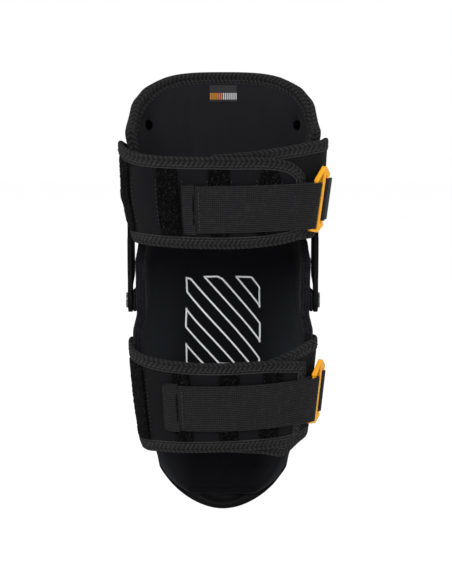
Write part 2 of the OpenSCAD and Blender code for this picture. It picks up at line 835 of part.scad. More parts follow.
shin_plate_t = 3;
shin_high = [[0, -78], [46, -80], [60, -92], [70, -150]];
module shin_plate() {
    color(plastic_black) difference() {
        skin_sheet(
            20, 160, 35, 8, function (t) tongue_low(t, 0), function (t) curve(shin_high, from_front(t)),
            cap_in, cap_in + shin_plate_t
        );
        cap_rivet_holes(cap_rivet_r);
    }
}

cap_rivet_r = 2;
// [angle, height] of the rivets that hold the cap and the shin plate to the foam
cap_rivet_at = [
    [40, 46], [140, 46], [40, -52], [140, -52], [50, -104], [130, -104], [62, -190], [118, -190]
];

module at_cap_rivet(p) {
    c = skin(p[0], p[1], 0);
    a = curve(skin_w, p[1]);
    b = curve(skin_front, p[1]);
    translate([c[0], c[1], p[1]])
    rotate([0, 0, atan2(sin(p[0]) / b, cos(p[0]) / a)])
    rotate([0, 90, 0]) children();
}

module cap_rivet_holes(r) {
    for (p = cap_rivet_at) at_cap_rivet(p) {
        translate([0, 0, liner_t + 0.1]) cylinder(r = r, h = 30, $fn = round_fn);
        translate([0, 0, liner_t]) cylinder(r = 5, h = 2.6, $fn = round_fn);
    }
}

module cap_rivets() {
    color(steel_grey) for (p = cap_rivet_at) {
        out = cap_in + (p[1] > -80 ? cap_t : shin_plate_t) + dome(p[0], p[1]) + 0.8;
        at_cap_rivet(p) {
            translate([0, 0, liner_t + 0.9]) cylinder(r = 4.6, h = 1.2, $fn = round_fn);
            translate([0, 0, liner_t + 0.9])
                cylinder(r = cap_rivet_r - fit_r, h = out - liner_t, $fn = round_fn);
            translate([0, 0, out]) cylinder(r = 4.6, h = 1.4, $fn = round_fn);
        }
    }
}

thigh_liner();
thigh_foam();
thigh_binding();
thigh_tag();
thigh_plate();
thigh_buttons();
thigh_wing_left();
thigh_wing_left_binding();
thigh_wing_right();
thigh_wing_right_binding();
thigh_loop_strips();
thigh_strap();
thigh_strap_tab();
thigh_ring();
thigh_keeper();
arm_left();
arm_right();
arm_rivets();
pad_liner();
pad_foam();
gel_insert();
pad_binding();
grip_print();
knee_cap();
knee_tread();
shin_plate();
cap_rivets();
hinge_pins();
hinge_washers();
calf_wing_left();
calf_wing_left_binding();
calf_wing_right();
calf_wing_right_binding();
calf_loop_strips();
calf_strap();
calf_strap_tab();
calf_ring();
calf_keeper();
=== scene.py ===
"""Looks of a hinged knee guard, seen from its open back.

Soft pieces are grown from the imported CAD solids: rays from the leg's axis give each solid's inner and
outer face, and the visible panels, tapes, straps and shells are laid out over those faces.
Lengths are in millimetres until a mesh is made.
"""
import json
import math

import bmesh
import bpy
import numpy as np
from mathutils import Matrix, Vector
from mathutils.bvhtree import BVHTree


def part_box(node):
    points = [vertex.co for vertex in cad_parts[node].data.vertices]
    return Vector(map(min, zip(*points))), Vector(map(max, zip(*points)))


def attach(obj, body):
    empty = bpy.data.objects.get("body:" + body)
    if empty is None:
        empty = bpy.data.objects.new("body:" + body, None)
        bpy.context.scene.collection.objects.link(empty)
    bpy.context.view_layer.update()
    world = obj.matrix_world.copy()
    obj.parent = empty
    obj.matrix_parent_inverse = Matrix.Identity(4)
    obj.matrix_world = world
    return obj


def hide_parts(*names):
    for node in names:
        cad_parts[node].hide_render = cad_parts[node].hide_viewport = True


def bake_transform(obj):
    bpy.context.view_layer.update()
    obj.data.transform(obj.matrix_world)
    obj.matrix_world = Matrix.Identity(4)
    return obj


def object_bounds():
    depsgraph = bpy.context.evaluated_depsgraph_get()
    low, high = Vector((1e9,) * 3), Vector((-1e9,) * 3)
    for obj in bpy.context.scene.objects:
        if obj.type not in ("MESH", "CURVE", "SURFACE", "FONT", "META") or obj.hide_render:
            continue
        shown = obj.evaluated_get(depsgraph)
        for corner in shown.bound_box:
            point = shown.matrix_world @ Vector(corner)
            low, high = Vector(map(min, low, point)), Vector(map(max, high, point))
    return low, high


MM = 0.001
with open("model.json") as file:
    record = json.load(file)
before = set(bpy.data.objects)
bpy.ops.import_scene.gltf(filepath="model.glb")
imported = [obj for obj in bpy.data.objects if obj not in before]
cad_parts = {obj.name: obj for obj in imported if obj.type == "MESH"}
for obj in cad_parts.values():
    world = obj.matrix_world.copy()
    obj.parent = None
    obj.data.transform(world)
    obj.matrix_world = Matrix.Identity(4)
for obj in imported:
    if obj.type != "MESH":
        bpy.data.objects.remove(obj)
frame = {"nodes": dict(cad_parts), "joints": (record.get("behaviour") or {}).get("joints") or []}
cad_box = [list(corner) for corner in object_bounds()]
rng = np.random.default_rng(7)


# ---------- reading the CAD solids ----------
class Solid:
    """One closed solid of a CAD node, probed with rays from the leg's axis."""

    FAR = 400.0

    def __init__(self, points, triangles):
        self.points = points
        self.triangles = triangles
        self.low = points.min(0)
        self.high = points.max(0)
        self.middle = points.mean(0)
        self.tree = BVHTree.FromPolygons([Vector(p) for p in points], triangles)

    def radii(self, angle, z):
        """Distance from the axis to the solid's inner and outer face, or None beside it."""
        ray = Vector((math.cos(angle), math.sin(angle), 0))
        start = Vector((0, 0, z))
        inner = self.tree.ray_cast(start, ray)[3]
        if inner is None:
            return None
        outer = self.tree.ray_cast(start + ray * self.FAR, -ray)[3]
        return inner, self.FAR - outer

    def heights(self, angle, step=1.5):
        """Lowest and highest z of the solid at an angle, or None beside it."""
        hits = [z for z in np.arange(self.low[2] + 0.2, self.high[2], step) if self.radii(angle, z)]
        if not hits:
            return None
        return self._edge(angle, hits[0], -step), self._edge(angle, hits[-1], step)

    def _edge(self, angle, z, step):
        for _ in range(7):
            step /= 2
            if self.radii(angle, z + step):
                z += step
        return z


def islands(node):
    """The separate solids of a CAD node."""
    mesh = frame["nodes"][node].data
    mesh.calc_loop_triangles()
    raw = np.array([v.co for v in mesh.vertices]) / MM
    keys, index = np.unique(np.round(raw, 3), axis=0, return_inverse=True)
    index = index.reshape(-1)
    triangles = [tuple(int(index[i]) for i in t.vertices) for t in mesh.loop_triangles]
    label = list(range(len(keys)))

    def root(i):
        while label[i] != i:
            label[i] = label[label[i]]
            i = label[i]
        return i

    for a, b, c in triangles:
        label[root(a)] = label[root(b)] = root(c)
    groups = {}
    for t in triangles:
        groups.setdefault(root(t[0]), []).append(t)
    solids = []
    for members in groups.values():
        used = sorted({i for t in members for i in t})
        new = {old: k for k, old in enumerate(used)}
        solids.append(Solid(keys[used], [tuple(new[i] for i in t) for t in members]))
    return sorted(solids, key=lambda s: (round(s.middle[0], 1), round(s.middle[2], 1)))


def blur(values, passes, axis):
    """Smooths an array along an axis and keeps its ends."""
    for _ in range(passes):
        moved = np.swapaxes(values, 0, axis)
        moved = np.concatenate([2 * moved[:1] - moved[1:2], moved, 2 * moved[-1:] - moved[-2:-1]])
        moved = (moved[:-2] + 2 * moved[1:-1] + moved[2:]) / 4
        values = np.swapaxes(moved, 0, axis)
    return values


class Field:
    """Smooth inner and outer radius of some solids over angle and height, filled in past their edges."""

    def __init__(self, solids, a0, a1, z0, z1, step_a=2.0, step_z=4.0, passes=3):
        self.angles = np.linspace(a0, a1, int((a1 - a0) / step_a) + 2)
        self.zs = np.linspace(z0, z1, int((z1 - z0) / step_z) + 2)
        table = np.full((len(self.angles), len(self.zs), 2), np.nan)
        for i, a in enumerate(np.radians(self.angles)):
            for j, z in enumerate(self.zs):
                hits = [s.radii(a, z) for s in solids if s.low[2] < z < s.high[2]]
                hits = [h for h in hits if h]
                if hits:
                    table[i, j] = min(h[0] for h in hits), max(h[1] for h in hits)
        self.table = self._filled(table)
        for axis in (0, 1):
            self.table = blur(self.table, passes, axis)

    @staticmethod
    def _filled(table):
        while np.isnan(table).any():
            padded = np.pad(table, ((1, 1), (1, 1), (0, 0)), constant_values=np.nan)
            around = np.stack([padded[:-2, 1:-1], padded[2:, 1:-1], padded[1:-1, :-2], padded[1:-1, 2:]])
            known = ~np.isnan(around)
            count = known.sum(0)
            mean = np.where(known, around, 0).sum(0) / np.maximum(count, 1)
            hole = np.isnan(table) & (count > 0)
            table = np.where(hole, mean, table)
        return table

    def radius(self, angle, z, share):
        """Radius at an angle in degrees, from the inner face (share 0) to the outer face (share 1)."""
        u = np.clip((angle - self.angles[0]) / (self.angles[1] - self.angles[0]), 0, len(self.angles) - 1.001)
        v = np.clip((z - self.zs[0]) / (self.zs[1] - self.zs[0]), 0, len(self.zs) - 1.001)
        i, j = u.astype(int), v.astype(int)
        fu, fv = (u - i)[..., None], (v - j)[..., None]
        t = self.table
        both = (t[i, j] * (1 - fu) * (1 - fv) + t[i + 1, j] * fu * (1 - fv)
                + t[i, j + 1] * (1 - fu) * fv + t[i + 1, j + 1] * fu * fv)
        return both[..., 0] * (1 - share) + both[..., 1] * share

    def place(self, angle, z, share, off=0.0):
        """Points at an angle and height; share picks the face, off moves them outward."""
        angle, z = np.broadcast_arrays(np.asarray(angle, float), np.asarray(z, float))
        r = self.radius(angle, z, share) + off
        a = np.radians(angle)
        return np.stack([r * np.cos(a), r * np.sin(a), z], -1)


def span(solids, a0, a1, step=1.0):
    """Angles, lowest and highest z of some solids taken together, between two angles."""
    rows = []
    for a in np.arange(a0, a1 + step / 2, step):
        found = [h for h in (s.heights(math.radians(a)) for s in solids) if h]
        if found:
            rows.append((a, min(f[0] for f in found), max(f[1] for f in found)))
    return np.array(rows).T


# ---------- making meshes ----------
def make_object(name, points, faces, uvs=None, material=None):
    """A mesh object from points in millimetres; uvs holds one pair per point, in millimetres."""
    mesh = bpy.data.meshes.new(name)
    mesh.from_pydata((np.asarray(points) * MM).tolist(), [], [list(f) for f in faces])
    mesh.update()
    if uvs is not None:
        layer = mesh.uv_layers.new(name="UVMap")
        loops = np.zeros(len(mesh.loops), np.int32)
        mesh.loops.foreach_get("vertex_index", loops)
        layer.data.foreach_set("uv", (np.asarray(uvs)[loops] * MM).astype(np.float32).ravel())
    mesh.polygons.foreach_set("use_smooth", [True] * len(mesh.polygons))
    obj = bpy.data.objects.new(name, mesh)
    bpy.context.scene.collection.objects.link(obj)
    if material:
        mesh.materials.append(material)
    return obj


def finish_piece(obj, body, slot, *nodes):
    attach(obj, body)
    if nodes:
        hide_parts(*nodes)
    return obj


def apply_modifiers(obj):
    depsgraph = bpy.context.evaluated_depsgraph_get()
    depsgraph.update()
    mesh = bpy.data.meshes.new_from_object(obj.evaluated_get(depsgraph))
    mesh.name = obj.name
    obj.modifiers.clear()
    obj.data = mesh
    return obj


def subdivide(obj, levels=1):
    modifier = obj.modifiers.new("subdivision", "SUBSURF")
    modifier.levels = modifier.render_levels = levels
    return apply_modifiers(obj)


def outward_faces(obj):
    """Turns a closed mesh's faces outward."""
    bm = bmesh.new()
    bm.from_mesh(obj.data)
    bmesh.ops.recalc_face_normals(bm, faces=bm.faces[:])
    bm.to_mesh(obj.data)
    bm.free()


def grid_faces(nu, nv, first=0, flip=False, wrap_u=False, wrap_v=False):
    """Quads over a grid of nu by nv points, numbered row by row."""
    faces = []
    for i in range(nu if wrap_u else nu - 1):
        for j in range(nv if wrap_v else nv - 1):
            k, m = (i + 1) % nu, (j + 1) % nv
            quad = [first + i * nv + j, first + k * nv + j, first + k * nv + m, first + i * nv + m]
            faces.append(quad[::-1] if flip else quad)
    return faces


def stations(length, cell, edge):
    """Positions along a length, close together within edge of each end."""
    rim = edge * np.array([0, 0.06, 0.25, 0.6, 1.0])
    middle = np.linspace(edge, length - edge, max(int((length - 2 * edge) / cell) + 1, 2))
    return np.concatenate([rim[:-1], middle, (length - rim[:-1])[::-1]])


def rounded(distance, radius):
    """Share of the full thickness at a distance from a rounded edge."""
    x = 1 - np.clip(distance / radius, 0, 1)
    return np.sqrt(np.maximum(1 - x * x, 0))


class Panel:
    """A closed padded sheet over a field: inner and outer faces share a rounded edge."""

    def __init__(self, name, field, outline, cell=4.0, edge=3.0, shares=(0, 1), offs=(0, 0), relief=None,
                 material=None, edge_share=0.5):
        angles, low, high = outline
        self.field = field
        self.mean_r = float(np.mean(field.radius(angles, (low + high) / 2, 0.5)))
        arc = np.radians(angles[-1] - angles[0]) * self.mean_r
        along = stations(arc, cell, edge)
        a = angles[0] + np.degrees(along / self.mean_r)
        lo, hi = np.interp(a, angles, low), np.interp(a, angles, high)
        height = float(np.mean(hi - lo))
        across = stations(height, cell, edge) / height
        self.angle = np.repeat(a[:, None], len(across), 1)
        self.z = lo[:, None] + (hi - lo)[:, None] * across[None, :]
        self.along = np.repeat(along[:, None], len(across), 1)
        size = (hi - lo)[:, None]
        to_edge = np.minimum(np.minimum(self.along, arc - self.along),
                             np.minimum(across[None, :] * size, (1 - across[None, :]) * size))
        self.to_edge = to_edge
        share = rounded(to_edge, edge)
        nu, nv = self.angle.shape
        faces_points, uvs = [], []
        push = relief(self) if relief else (0.0, 0.0)
        for side in (0, 1):
            s = edge_share + (shares[side] - edge_share) * share
            off = offs[side] * share + push[side] * share
            faces_points.append(field.place(self.angle, self.z, s, off).reshape(-1, 3))
            uvs.append(np.stack([self.along, self.z], -1).reshape(-1, 2))
        points = np.concatenate(faces_points)
        inner = grid_faces(nu, nv, 0, flip=True)
        outer = grid_faces(nu, nv, nu * nv)
        edge_index = self._edge_index(nu, nv)
        merged = {nu * nv + k: k for k in edge_index}
        faces = inner + [[merged.get(i, i) for i in f] for f in outer]
        keep = sorted(set(range(2 * nu * nv)) - set(merged))
        new = {old: k for k, old in enumerate(keep)}
        faces = [[new[i] for i in f] for f in faces]
        self.kept = np.array(keep)
        self.shape = (nu, nv)
        self.obj = make_object(name, points[keep], faces, np.concatenate(uvs)[keep], material)

    @staticmethod
    def _edge_index(nu, nv):
        index = np.arange(nu * nv).reshape(nu, nv)
        return sorted(set(index[0]) | set(index[-1]) | set(index[:, 0]) | set(index[:, -1]))

    def per_point(self, values):
        """Values over the grid, one per kept mesh point (the inner face first)."""
        return np.concatenate([values.ravel(), values.ravel()])[self.kept]

    def is_outer(self):
        return self.kept >= self.shape[0] * self.shape[1]


def puff(panel, pinned, pressure, inward, outward, shrink=0.0):
    """Inflates a panel with a cloth simulation; pinned points stay, and no point moves further than its cap."""
    obj = panel.obj
    count = len(obj.data.vertices)
    rest = np.zeros(count * 3, np.float32)
    obj.data.vertices.foreach_get("co", rest)
    rest = rest.reshape(-1, 3).copy()
    group = obj.vertex_groups.new(name="pin")
    for k in np.nonzero(pinned)[0]:
        group.add([int(k)], 1.0, "REPLACE")
    cloth = obj.modifiers.new("cloth", "CLOTH")
    settings = cloth.settings
    settings.quality = 6
    settings.mass = 0.3
    settings.tension_stiffness = settings.compression_stiffness = 12
    settings.bending_stiffness = 0.6
    settings.use_pressure = True
    settings.uniform_pressure_force = pressure
    settings.shrink_min = shrink
    settings.vertex_group_mass = "pin"
    settings.effector_weights.gravity = 0
    cloth.collision_settings.use_collision = False
    scene = bpy.context.scene
    for number in range(1, 21):
        scene.frame_set(number)
    depsgraph = bpy.context.evaluated_depsgraph_get()
    result = obj.evaluated_get(depsgraph).to_mesh()
    moved = np.zeros(count * 3, np.float32)
    result.vertices.foreach_get("co", moved)
    moved = moved.reshape(-1, 3)
    scene.frame_set(1)
    obj.modifiers.remove(cloth)
    obj.vertex_groups.clear()
    step = moved - rest
    plan = rest.copy()
    plan[:, 2] = 0
    plan /= np.linalg.norm(plan, axis=1, keepdims=True)
    radial = (step * plan).sum(1)
    kept = inward_outward(radial, inward * MM, outward * MM)
    step += plan * (kept - radial)[:, None]
    length = np.linalg.norm(step, axis=1)
    cap = max(inward, outward) * MM
    step *= np.minimum(1, cap / np.maximum(length, 1e-9))[:, None]
    obj.data.vertices.foreach_set("co", (rest + step).ravel())
    obj.data.update()


def inward_outward(radial, inward, outward):
    """Soft limit on a signed distance, with its own cap on each side."""
    cap = np.where(radial < 0, inward, outward)
    return cap * np.tanh(radial / np.maximum(cap, 1e-9))


def resample(path, step):
    """A polyline's points at even distances, with its ends kept."""
    lengths = np.concatenate([[0], np.cumsum(np.linalg.norm(np.diff(path, axis=0), axis=1))])
    at = np.linspace(0, lengths[-1], max(int(round(lengths[-1] / step)) + 1, 3))
    return np.stack([np.interp(at, lengths, path[:, k]) for k in range(path.shape[1])], 1), at


def round_corners(path, radius, step=1.0):
    """Rounds a polyline's corners to about a radius."""
    even, _ = resample(path, step)
    passes = int(2 * (radius / (2.2 * step)) ** 2)
    return blur(even, passes, 0)


# Cross-section of a folded tape: (distance from its folded edge, share of the half thickness)
TAPE_SECTION = [(12.0, -0.55), (11.7, -0.95), (11.0, -1.0), (8.6, -1.02), (8.2, -0.97), (7.6, -1.03),
                (5.0, -1.06), (2.4, -1.0), (0.9, -0.78), (0.1, -0.35), (0.1, 0.35), (0.9, 0.78), (2.4, 1.0),
                (5.0, 1.06), (7.6, 1.03), (8.2, 0.97), (8.6, 1.02), (11.0, 1.0), (11.7, 0.95), (12.0, 0.55)]


class Tape:
    """Binding tape folded over the edge of a sheet, with its stitches."""

    def __init__(self, name, field, path, width, thickness, materials, closed=False, off=0.0, step=2.2,
                 share=0.5, stitch_side=(-1, 1), pucker=0.25):
        """path holds (angle in degrees, z) along the edge, with the sheet on its left."""
        self.field, self.off, self.share = field, off, share
        self.mean_r = float(np.mean(field.radius(path[:, 0], path[:, 1], share)))
        flat = np.stack([np.radians(path[:, 0]) * self.mean_r, path[:, 1]], 1)
        flat, at = resample(flat, step)
        if closed:
            flat, at = flat[:-1], at[:-1]
        ahead = np.roll(flat, -1, 0) - np.roll(flat, 1, 0)
        if not closed:
            ahead[0], ahead[-1] = flat[1] - flat[0], flat[-1] - flat[-2]
        ahead /= np.linalg.norm(ahead, axis=1, keepdims=True)
        self.flat, self.inward = flat, np.stack([-ahead[:, 1], ahead[:, 0]], 1)
        self.ahead, self.at = ahead, at
        self.width, self.half = width, thickness / 2
        section = np.array(TAPE_SECTION)
        section[:, 0] *= width / 12
        n, m = len(flat), len(section)
        wave = pucker * blur(rng.normal(size=n), 2, 0)
        points = np.zeros((n, m, 3))
        uvs = np.zeros((n, m, 2))
        girth = np.concatenate([[0], np.cumsum(np.hypot(np.diff(section[:, 0]), np.diff(section[:, 1]) * self.half))])
        for k, (w, h) in enumerate(section):
            points[:, k] = self.point(flat, np.full(n, w), h * self.half + np.sign(h) * wave * (0.3 + 0.7 * w / width))
            uvs[:, k] = np.stack([at, np.full(n, 24 * girth[k] / girth[-1])], 1)
        faces = grid_faces(n, m, wrap_u=closed, wrap_v=True)
        points, uvs = points.reshape(-1, 3), uvs.reshape(-1, 2)
        if not closed:
            faces += [list(range(m)), list(range((n - 1) * m, n * m))[::-1]]
        self.obj = make_object(name, points, faces, uvs, materials[0])
        self.obj.data.materials.append(materials[1])
        outward_faces(self.obj)
        self._stitch(width - 3.3, 3.6, 1.3, stitch_side)

    def point(self, flat, inset, height):
        """Points on the sheet at an inset from the edge and a height over its middle."""
        place = flat + self.inward * inset[:, None] if len(flat) == len(self.inward) else flat
        angle = np.degrees(place[:, 0] / self.mean_r)
        return self.field.place(angle, place[:, 1], self.share, height + self.off)

    def _stitch(self, inset, length, gap, sides):
        count = int(self.at[-1] / (length + gap))
        centres = (np.arange(count) + 0.5) * (length + gap)
        flat = np.stack([np.interp(centres, self.at, self.flat[:, k]) for k in (0, 1)], 1)
        inward = np.stack([np.interp(centres, self.at, self.inward[:, k]) for k in (0, 1)], 1)
        ahead = np.stack([np.interp(centres, self.at, self.ahead[:, k]) for k in (0, 1)], 1)
        for side in sides:
            ends = []
            for s in (-0.5, 0, 0.5):
                spot = flat + inward * inset + ahead * length * s
                height = side * (self.half * 1.0 + (0.22 if s == 0 else -0.12)) + self.off
                angle = np.degrees(spot[:, 0] / self.mean_r)
                ends.append(self.field.place(angle, spot[:, 1], self.share, height))
            add_threads(self.obj, np.stack(ends, 1), 0.42, 1)


def add_threads(obj, paths, radius, material_index):
    """Adds short round threads through the given points, shaped (thread, point, 3), to a mesh object."""
    ring = 5
    turn = np.arange(ring) * 2 * math.pi / ring
    count, length, _ = paths.shape
    along = paths[:, -1] - paths[:, 0]
    along /= np.linalg.norm(along, axis=1, keepdims=True)
    side = np.cross(along, [0.0, 0.0, 1.0])
    flat = np.linalg.norm(side, axis=1) < 1e-3
    side[flat] = np.cross(along[flat], [1.0, 0.0, 0.0])
    side /= np.linalg.norm(side, axis=1, keepdims=True)
    up = np.cross(side, along)
    size = np.array([0.35] + [1.0] * (length - 2) + [0.35]) * radius
    points = (paths[:, :, None, :] + size[None, :, None, None]
              * (np.cos(turn)[None, None, :, None] * side[:, None, None, :]
                 + np.sin(turn)[None, None, :, None] * up[:, None, None, :]))
    bm = bmesh.new()
    bm.from_mesh(obj.data)
    for thread in points:
        verts = [[bm.verts.new(p * MM) for p in loop] for loop in thread]
        for a, b in zip(verts, verts[1:]):
            for k in range(ring):
                face = bm.faces.new((a[k], a[(k + 1) % ring], b[(k + 1) % ring], b[k]))
                face.material_index = material_index
                face.smooth = True
        for cap in (verts[0][::-1], verts[-1]):
            face = bm.faces.new(cap)
            face.material_index = material_index
    bm.to_mesh(obj.data)
    bm.free()
    obj.data.update()


# ---------- materials ----------
def linear(hex_colour):
    """Scene-linear colour of a display colour such as 1e1e21."""
    out = []
    for k in (0, 2, 4):
        c = int(hex_colour[k:k + 2], 16) / 255
        out.append(c / 12.92 if c <= 0.04045 else ((c + 0.055) / 1.055) ** 2.4)
    return (*out, 1.0)


class Look:
    """A node material under construction."""

    def __init__(self, name, roughness=0.8, sheen=0.0, specular=0.4):
        self.material = bpy.data.materials.new(name)
        self.material.use_nodes = True
        self.tree = self.material.node_tree
        self.tree.nodes.clear()
        self.bsdf = self.node("ShaderNodeBsdfPrincipled", roughness=roughness, sheen_weight=sheen,
                              sheen_roughness=0.45, specular_ior_level=specular)
        self.out = self.node("ShaderNodeOutputMaterial")
        self.link(self.bsdf, "BSDF", self.out, "Surface")
        coords = self.node("ShaderNodeTexCoord")
        self.uv = coords.outputs["UV"]
        self.object = coords.outputs["Object"]

    def node(self, kind, **inputs):
        node = self.tree.nodes.new(kind)
        for key, value in inputs.items():
            label = key.replace("_", " ").title().replace("Ior", "IOR")
            if hasattr(value, "is_linked") or hasattr(value, "links"):
                self.tree.links.new(value, node.inputs[label])
            else:
                node.inputs[label].default_value = value
        return node

    def link(self, a, out, b, into):
        self.tree.links.new(a.outputs[out], b.inputs[into])

    def math(self, operation, a, b=0.0, clamp=False):
        node = self.tree.nodes.new("ShaderNodeMath")
        node.operation = operation
        node.use_clamp = clamp
        for k, value in enumerate((a, b)):
            if hasattr(value, "links"):
                self.tree.links.new(value, node.inputs[k])
            else:
                node.inputs[k].default_value = value
        return node.outputs[0]

    def split(self, vector):
        node = self.tree.nodes.new("ShaderNodeSeparateXYZ")
        self.tree.links.new(vector, node.inputs[0])
        return node.outputs[0], node.outputs[1], node.outputs[2]

    def noise(self, scale, detail=3.0, roughness=0.55, vector=None):
        node = self.node("ShaderNodeTexNoise", scale=scale, detail=detail, roughness=roughness)
        self.tree.links.new(vector or self.object, node.inputs["Vector"])
        return node.outputs["Fac"]

    def cells(self, scale, vector=None, feature="F1"):
        node = self.node("ShaderNodeTexVoronoi", scale=scale)
        node.feature = feature
        self.tree.links.new(vector or self.object, node.inputs["Vector"])
        return node.outputs["Distance"]

    def ridge(self, value, pitch, phase=0.0):
        """A wave between 0 and 1 with the given pitch in metres."""
        turned = self.math("ADD", self.math("MULTIPLY", value, 2 * math.pi / pitch), phase)
        sine = self.math("SINE", turned)
        return self.math("ADD", self.math("MULTIPLY", sine, 0.5), 0.5)

    def mix(self, share, low, high):
        """Colour between two display colours."""
        node = self.tree.nodes.new("ShaderNodeMix")
        node.data_type = "RGBA"
        self.tree.links.new(share, node.inputs["Factor"])
        for socket, value in ((node.inputs[6], low), (node.inputs[7], high)):
            if isinstance(value, str):
                socket.default_value = linear(value)
            else:
                self.tree.links.new(value, socket)
        return node.outputs[2]

    def ramp(self, value, low, high):
        """0 below low, 1 above high, straight in between."""
        node = self.tree.nodes.new("ShaderNodeMapRange")
        self.tree.links.new(value, node.inputs["Value"])
        node.inputs["From Min"].default_value = low
        node.inputs["From Max"].default_value = high
        return node.outputs["Result"]

    def colour(self, socket):
        self.tree.links.new(socket, self.bsdf.inputs["Base Color"])

    def roughness(self, socket, low, high):
        spread = self.math("MULTIPLY", socket, high - low)
        self.tree.links.new(self.math("ADD", spread, low), self.bsdf.inputs["Roughness"])

    def bump(self, *layers):
        """Stacks (height socket, depth in metres) layers as bump."""
        last = None
        for height, depth in layers:
            node = self.node("ShaderNodeBump", strength=1.0, distance=depth)
            self.tree.links.new(height, node.inputs["Height"])
            if last is not None:
                self.tree.links.new(last, node.inputs["Normal"])
            last = node.outputs["Normal"]
        self.tree.links.new(last, self.bsdf.inputs["Normal"])


def lining_look(name, dark, light, painted_light_from=None):
    """Brushed jersey over neoprene: fine knit rows, a soft sheen and faint lint; given a side share, its sides and
    lower part are painted paler as light falling on the padded form.
    """
    look = Look(name, roughness=0.85, sheen=0.04, specular=0.1)
    u, v, _ = look.split(look.uv)
    rows = look.math("MULTIPLY", look.ridge(u, 0.0011), look.ridge(v, 0.0009))
    cloud = look.noise(14, 4)
    lint = look.ramp(look.noise(900, 2), 0.68, 0.8)
    base = look.mix(cloud, dark, light)
    if painted_light_from:
        # painted light: the lining is painted paler towards both sides and towards its lower part, standing in for
        # light on the padded form
        across, _, height = look.split(look.object)
        side = look.ramp(look.math("ABSOLUTE", across), 0.035, painted_light_from)
        low = look.ramp(look.math("MULTIPLY", height, -1.0), -0.04, 0.06)
        base = look.mix(look.math("MULTIPLY", look.math("MULTIPLY", side, low), 0.5), base, "34353a")
    look.colour(look.mix(look.math("MULTIPLY", lint, 0.15), base, "2c2c30"))
    look.bump((look.noise(45, 3), 0.0009), (rows, 0.00016), (look.noise(1400, 2), 0.00012))
    look.roughness(cloud, 0.75, 0.92)
    return look.material


def wing_look():
    """Smooth stretch fabric, slightly blue, with a visible weave."""
    look = Look("wing_stretch", roughness=0.75, sheen=0.03, specular=0.1)
    u, v, _ = look.split(look.uv)
    weave = look.math("MULTIPLY", look.ridge(u, 0.0013), look.ridge(v, 0.0010))
    cloud = look.noise(25, 4)
    look.colour(look.mix(cloud, "08080a", "0f0f12"))
    look.bump((look.noise(60, 3), 0.0010), (weave, 0.00022))
    look.roughness(cloud, 0.68, 0.88)
    return look.material


def tape_look(name, dark, light, cord_highlight_colour, worn_colour):
    """Woven binding tape: two columns of slanting strands that meet in chevrons, with corded edges that are raised and
    painted paler as a highlight.
    """
    look = Look(name, roughness=0.75, sheen=0.03, specular=0.12)
    u, v, _ = look.split(look.uv)
    zigzag = look.math("PINGPONG", v, 0.0055)
    strand = look.ridge(look.math("ADD", u, look.math("MULTIPLY", zigzag, 0.9)), 0.0055)
    fine = look.ridge(look.math("SUBTRACT", u, look.math("MULTIPLY", zigzag, 1.6)), 0.0013)
    column = look.ramp(look.math("ABSOLUTE", look.math("SUBTRACT", zigzag, 0.00275)), 0.0018, 0.0027)
    height = look.math("ADD", look.math("MULTIPLY", strand, 0.7), look.math("MULTIPLY", fine, 0.3))
    height = look.math("MULTIPLY", height, look.math("SUBTRACT", 1.0, look.math("MULTIPLY", column, 0.6)))
    height = look.math("MULTIPLY", height, look.math("ADD", 0.45, look.noise(420, 3)))
    from_rim = look.math("SUBTRACT", 0.012, look.math("ABSOLUTE", look.math("SUBTRACT", v, 0.012)))
    cord = look.math("SUBTRACT", 1.0, look.ramp(look.math("ABSOLUTE", look.math("SUBTRACT", from_rim, 0.0011)),
                                                0.0003, 0.0007))
    worn = look.math("MULTIPLY", look.ramp(look.noise(120, 4), 0.5, 0.78), 0.3)
    base = look.mix(height, dark, light)
    # painted highlight: the corded edges are painted paler, standing in for light caught along the tape's edges
    base = look.mix(look.math("MULTIPLY", cord, 0.7), base, cord_highlight_colour)
    look.colour(look.mix(worn, base, worn_colour))
    look.bump((height, 0.0016), (cord, 0.0004), (look.noise(1200, 2), 0.00025))
    look.roughness(height, 0.88, 0.66)
    return look.material


def rim_look():
    """Brushed edging: a coarse plain weave with a worn nap."""
    look = Look("pad_rim_weave", roughness=0.9, sheen=0.06, specular=0.08)
    u, v, _ = look.split(look.uv)
    weave = look.math("MULTIPLY", look.ridge(u, 0.0024), look.ridge(v, 0.0024, 0.8))
    nap = look.cells(700)
    base = look.mix(look.math("MULTIPLY", weave, nap), "08080a", "2e2e32")
    look.colour(look.mix(look.ramp(look.noise(150, 4), 0.45, 0.75), base, "1c1c1f"))
    look.bump((weave, 0.0006), (nap, 0.0005), (look.noise(1300, 2), 0.0002))
    return look.material


def thread_look():
    look = Look("sewing_thread", roughness=0.6, sheen=0.05)
    twist = look.ridge(look.split(look.object)[2], 0.0008)
    look.colour(look.mix(look.noise(300), "1a1a1c", "3c3c40"))
    look.bump((twist, 0.0001))
    return look.material


def loop_look():
    """Fuzzy loop fastener: a dense pile of tiny loops, with paler specks painted in as the light their tips catch."""
    look = Look("loop_pile", roughness=0.95, sheen=0.02, specular=0.04)
    coarse = look.cells(420)
    fine = look.cells(1300)
    glint_specks = look.ramp(look.noise(520, 3), 0.55, 0.66)
    base = look.mix(look.ramp(coarse, 0.1, 0.7), "080809", "010101")
    # painted highlight: pale specks stand in for light caught on the loop tips
    look.colour(look.mix(look.math("MULTIPLY", glint_specks, 0.7), base, "2e2e30"))
    look.bump((coarse, -0.0018), (fine, -0.0008), (look.noise(2200, 2), 0.0005))
    return look.material


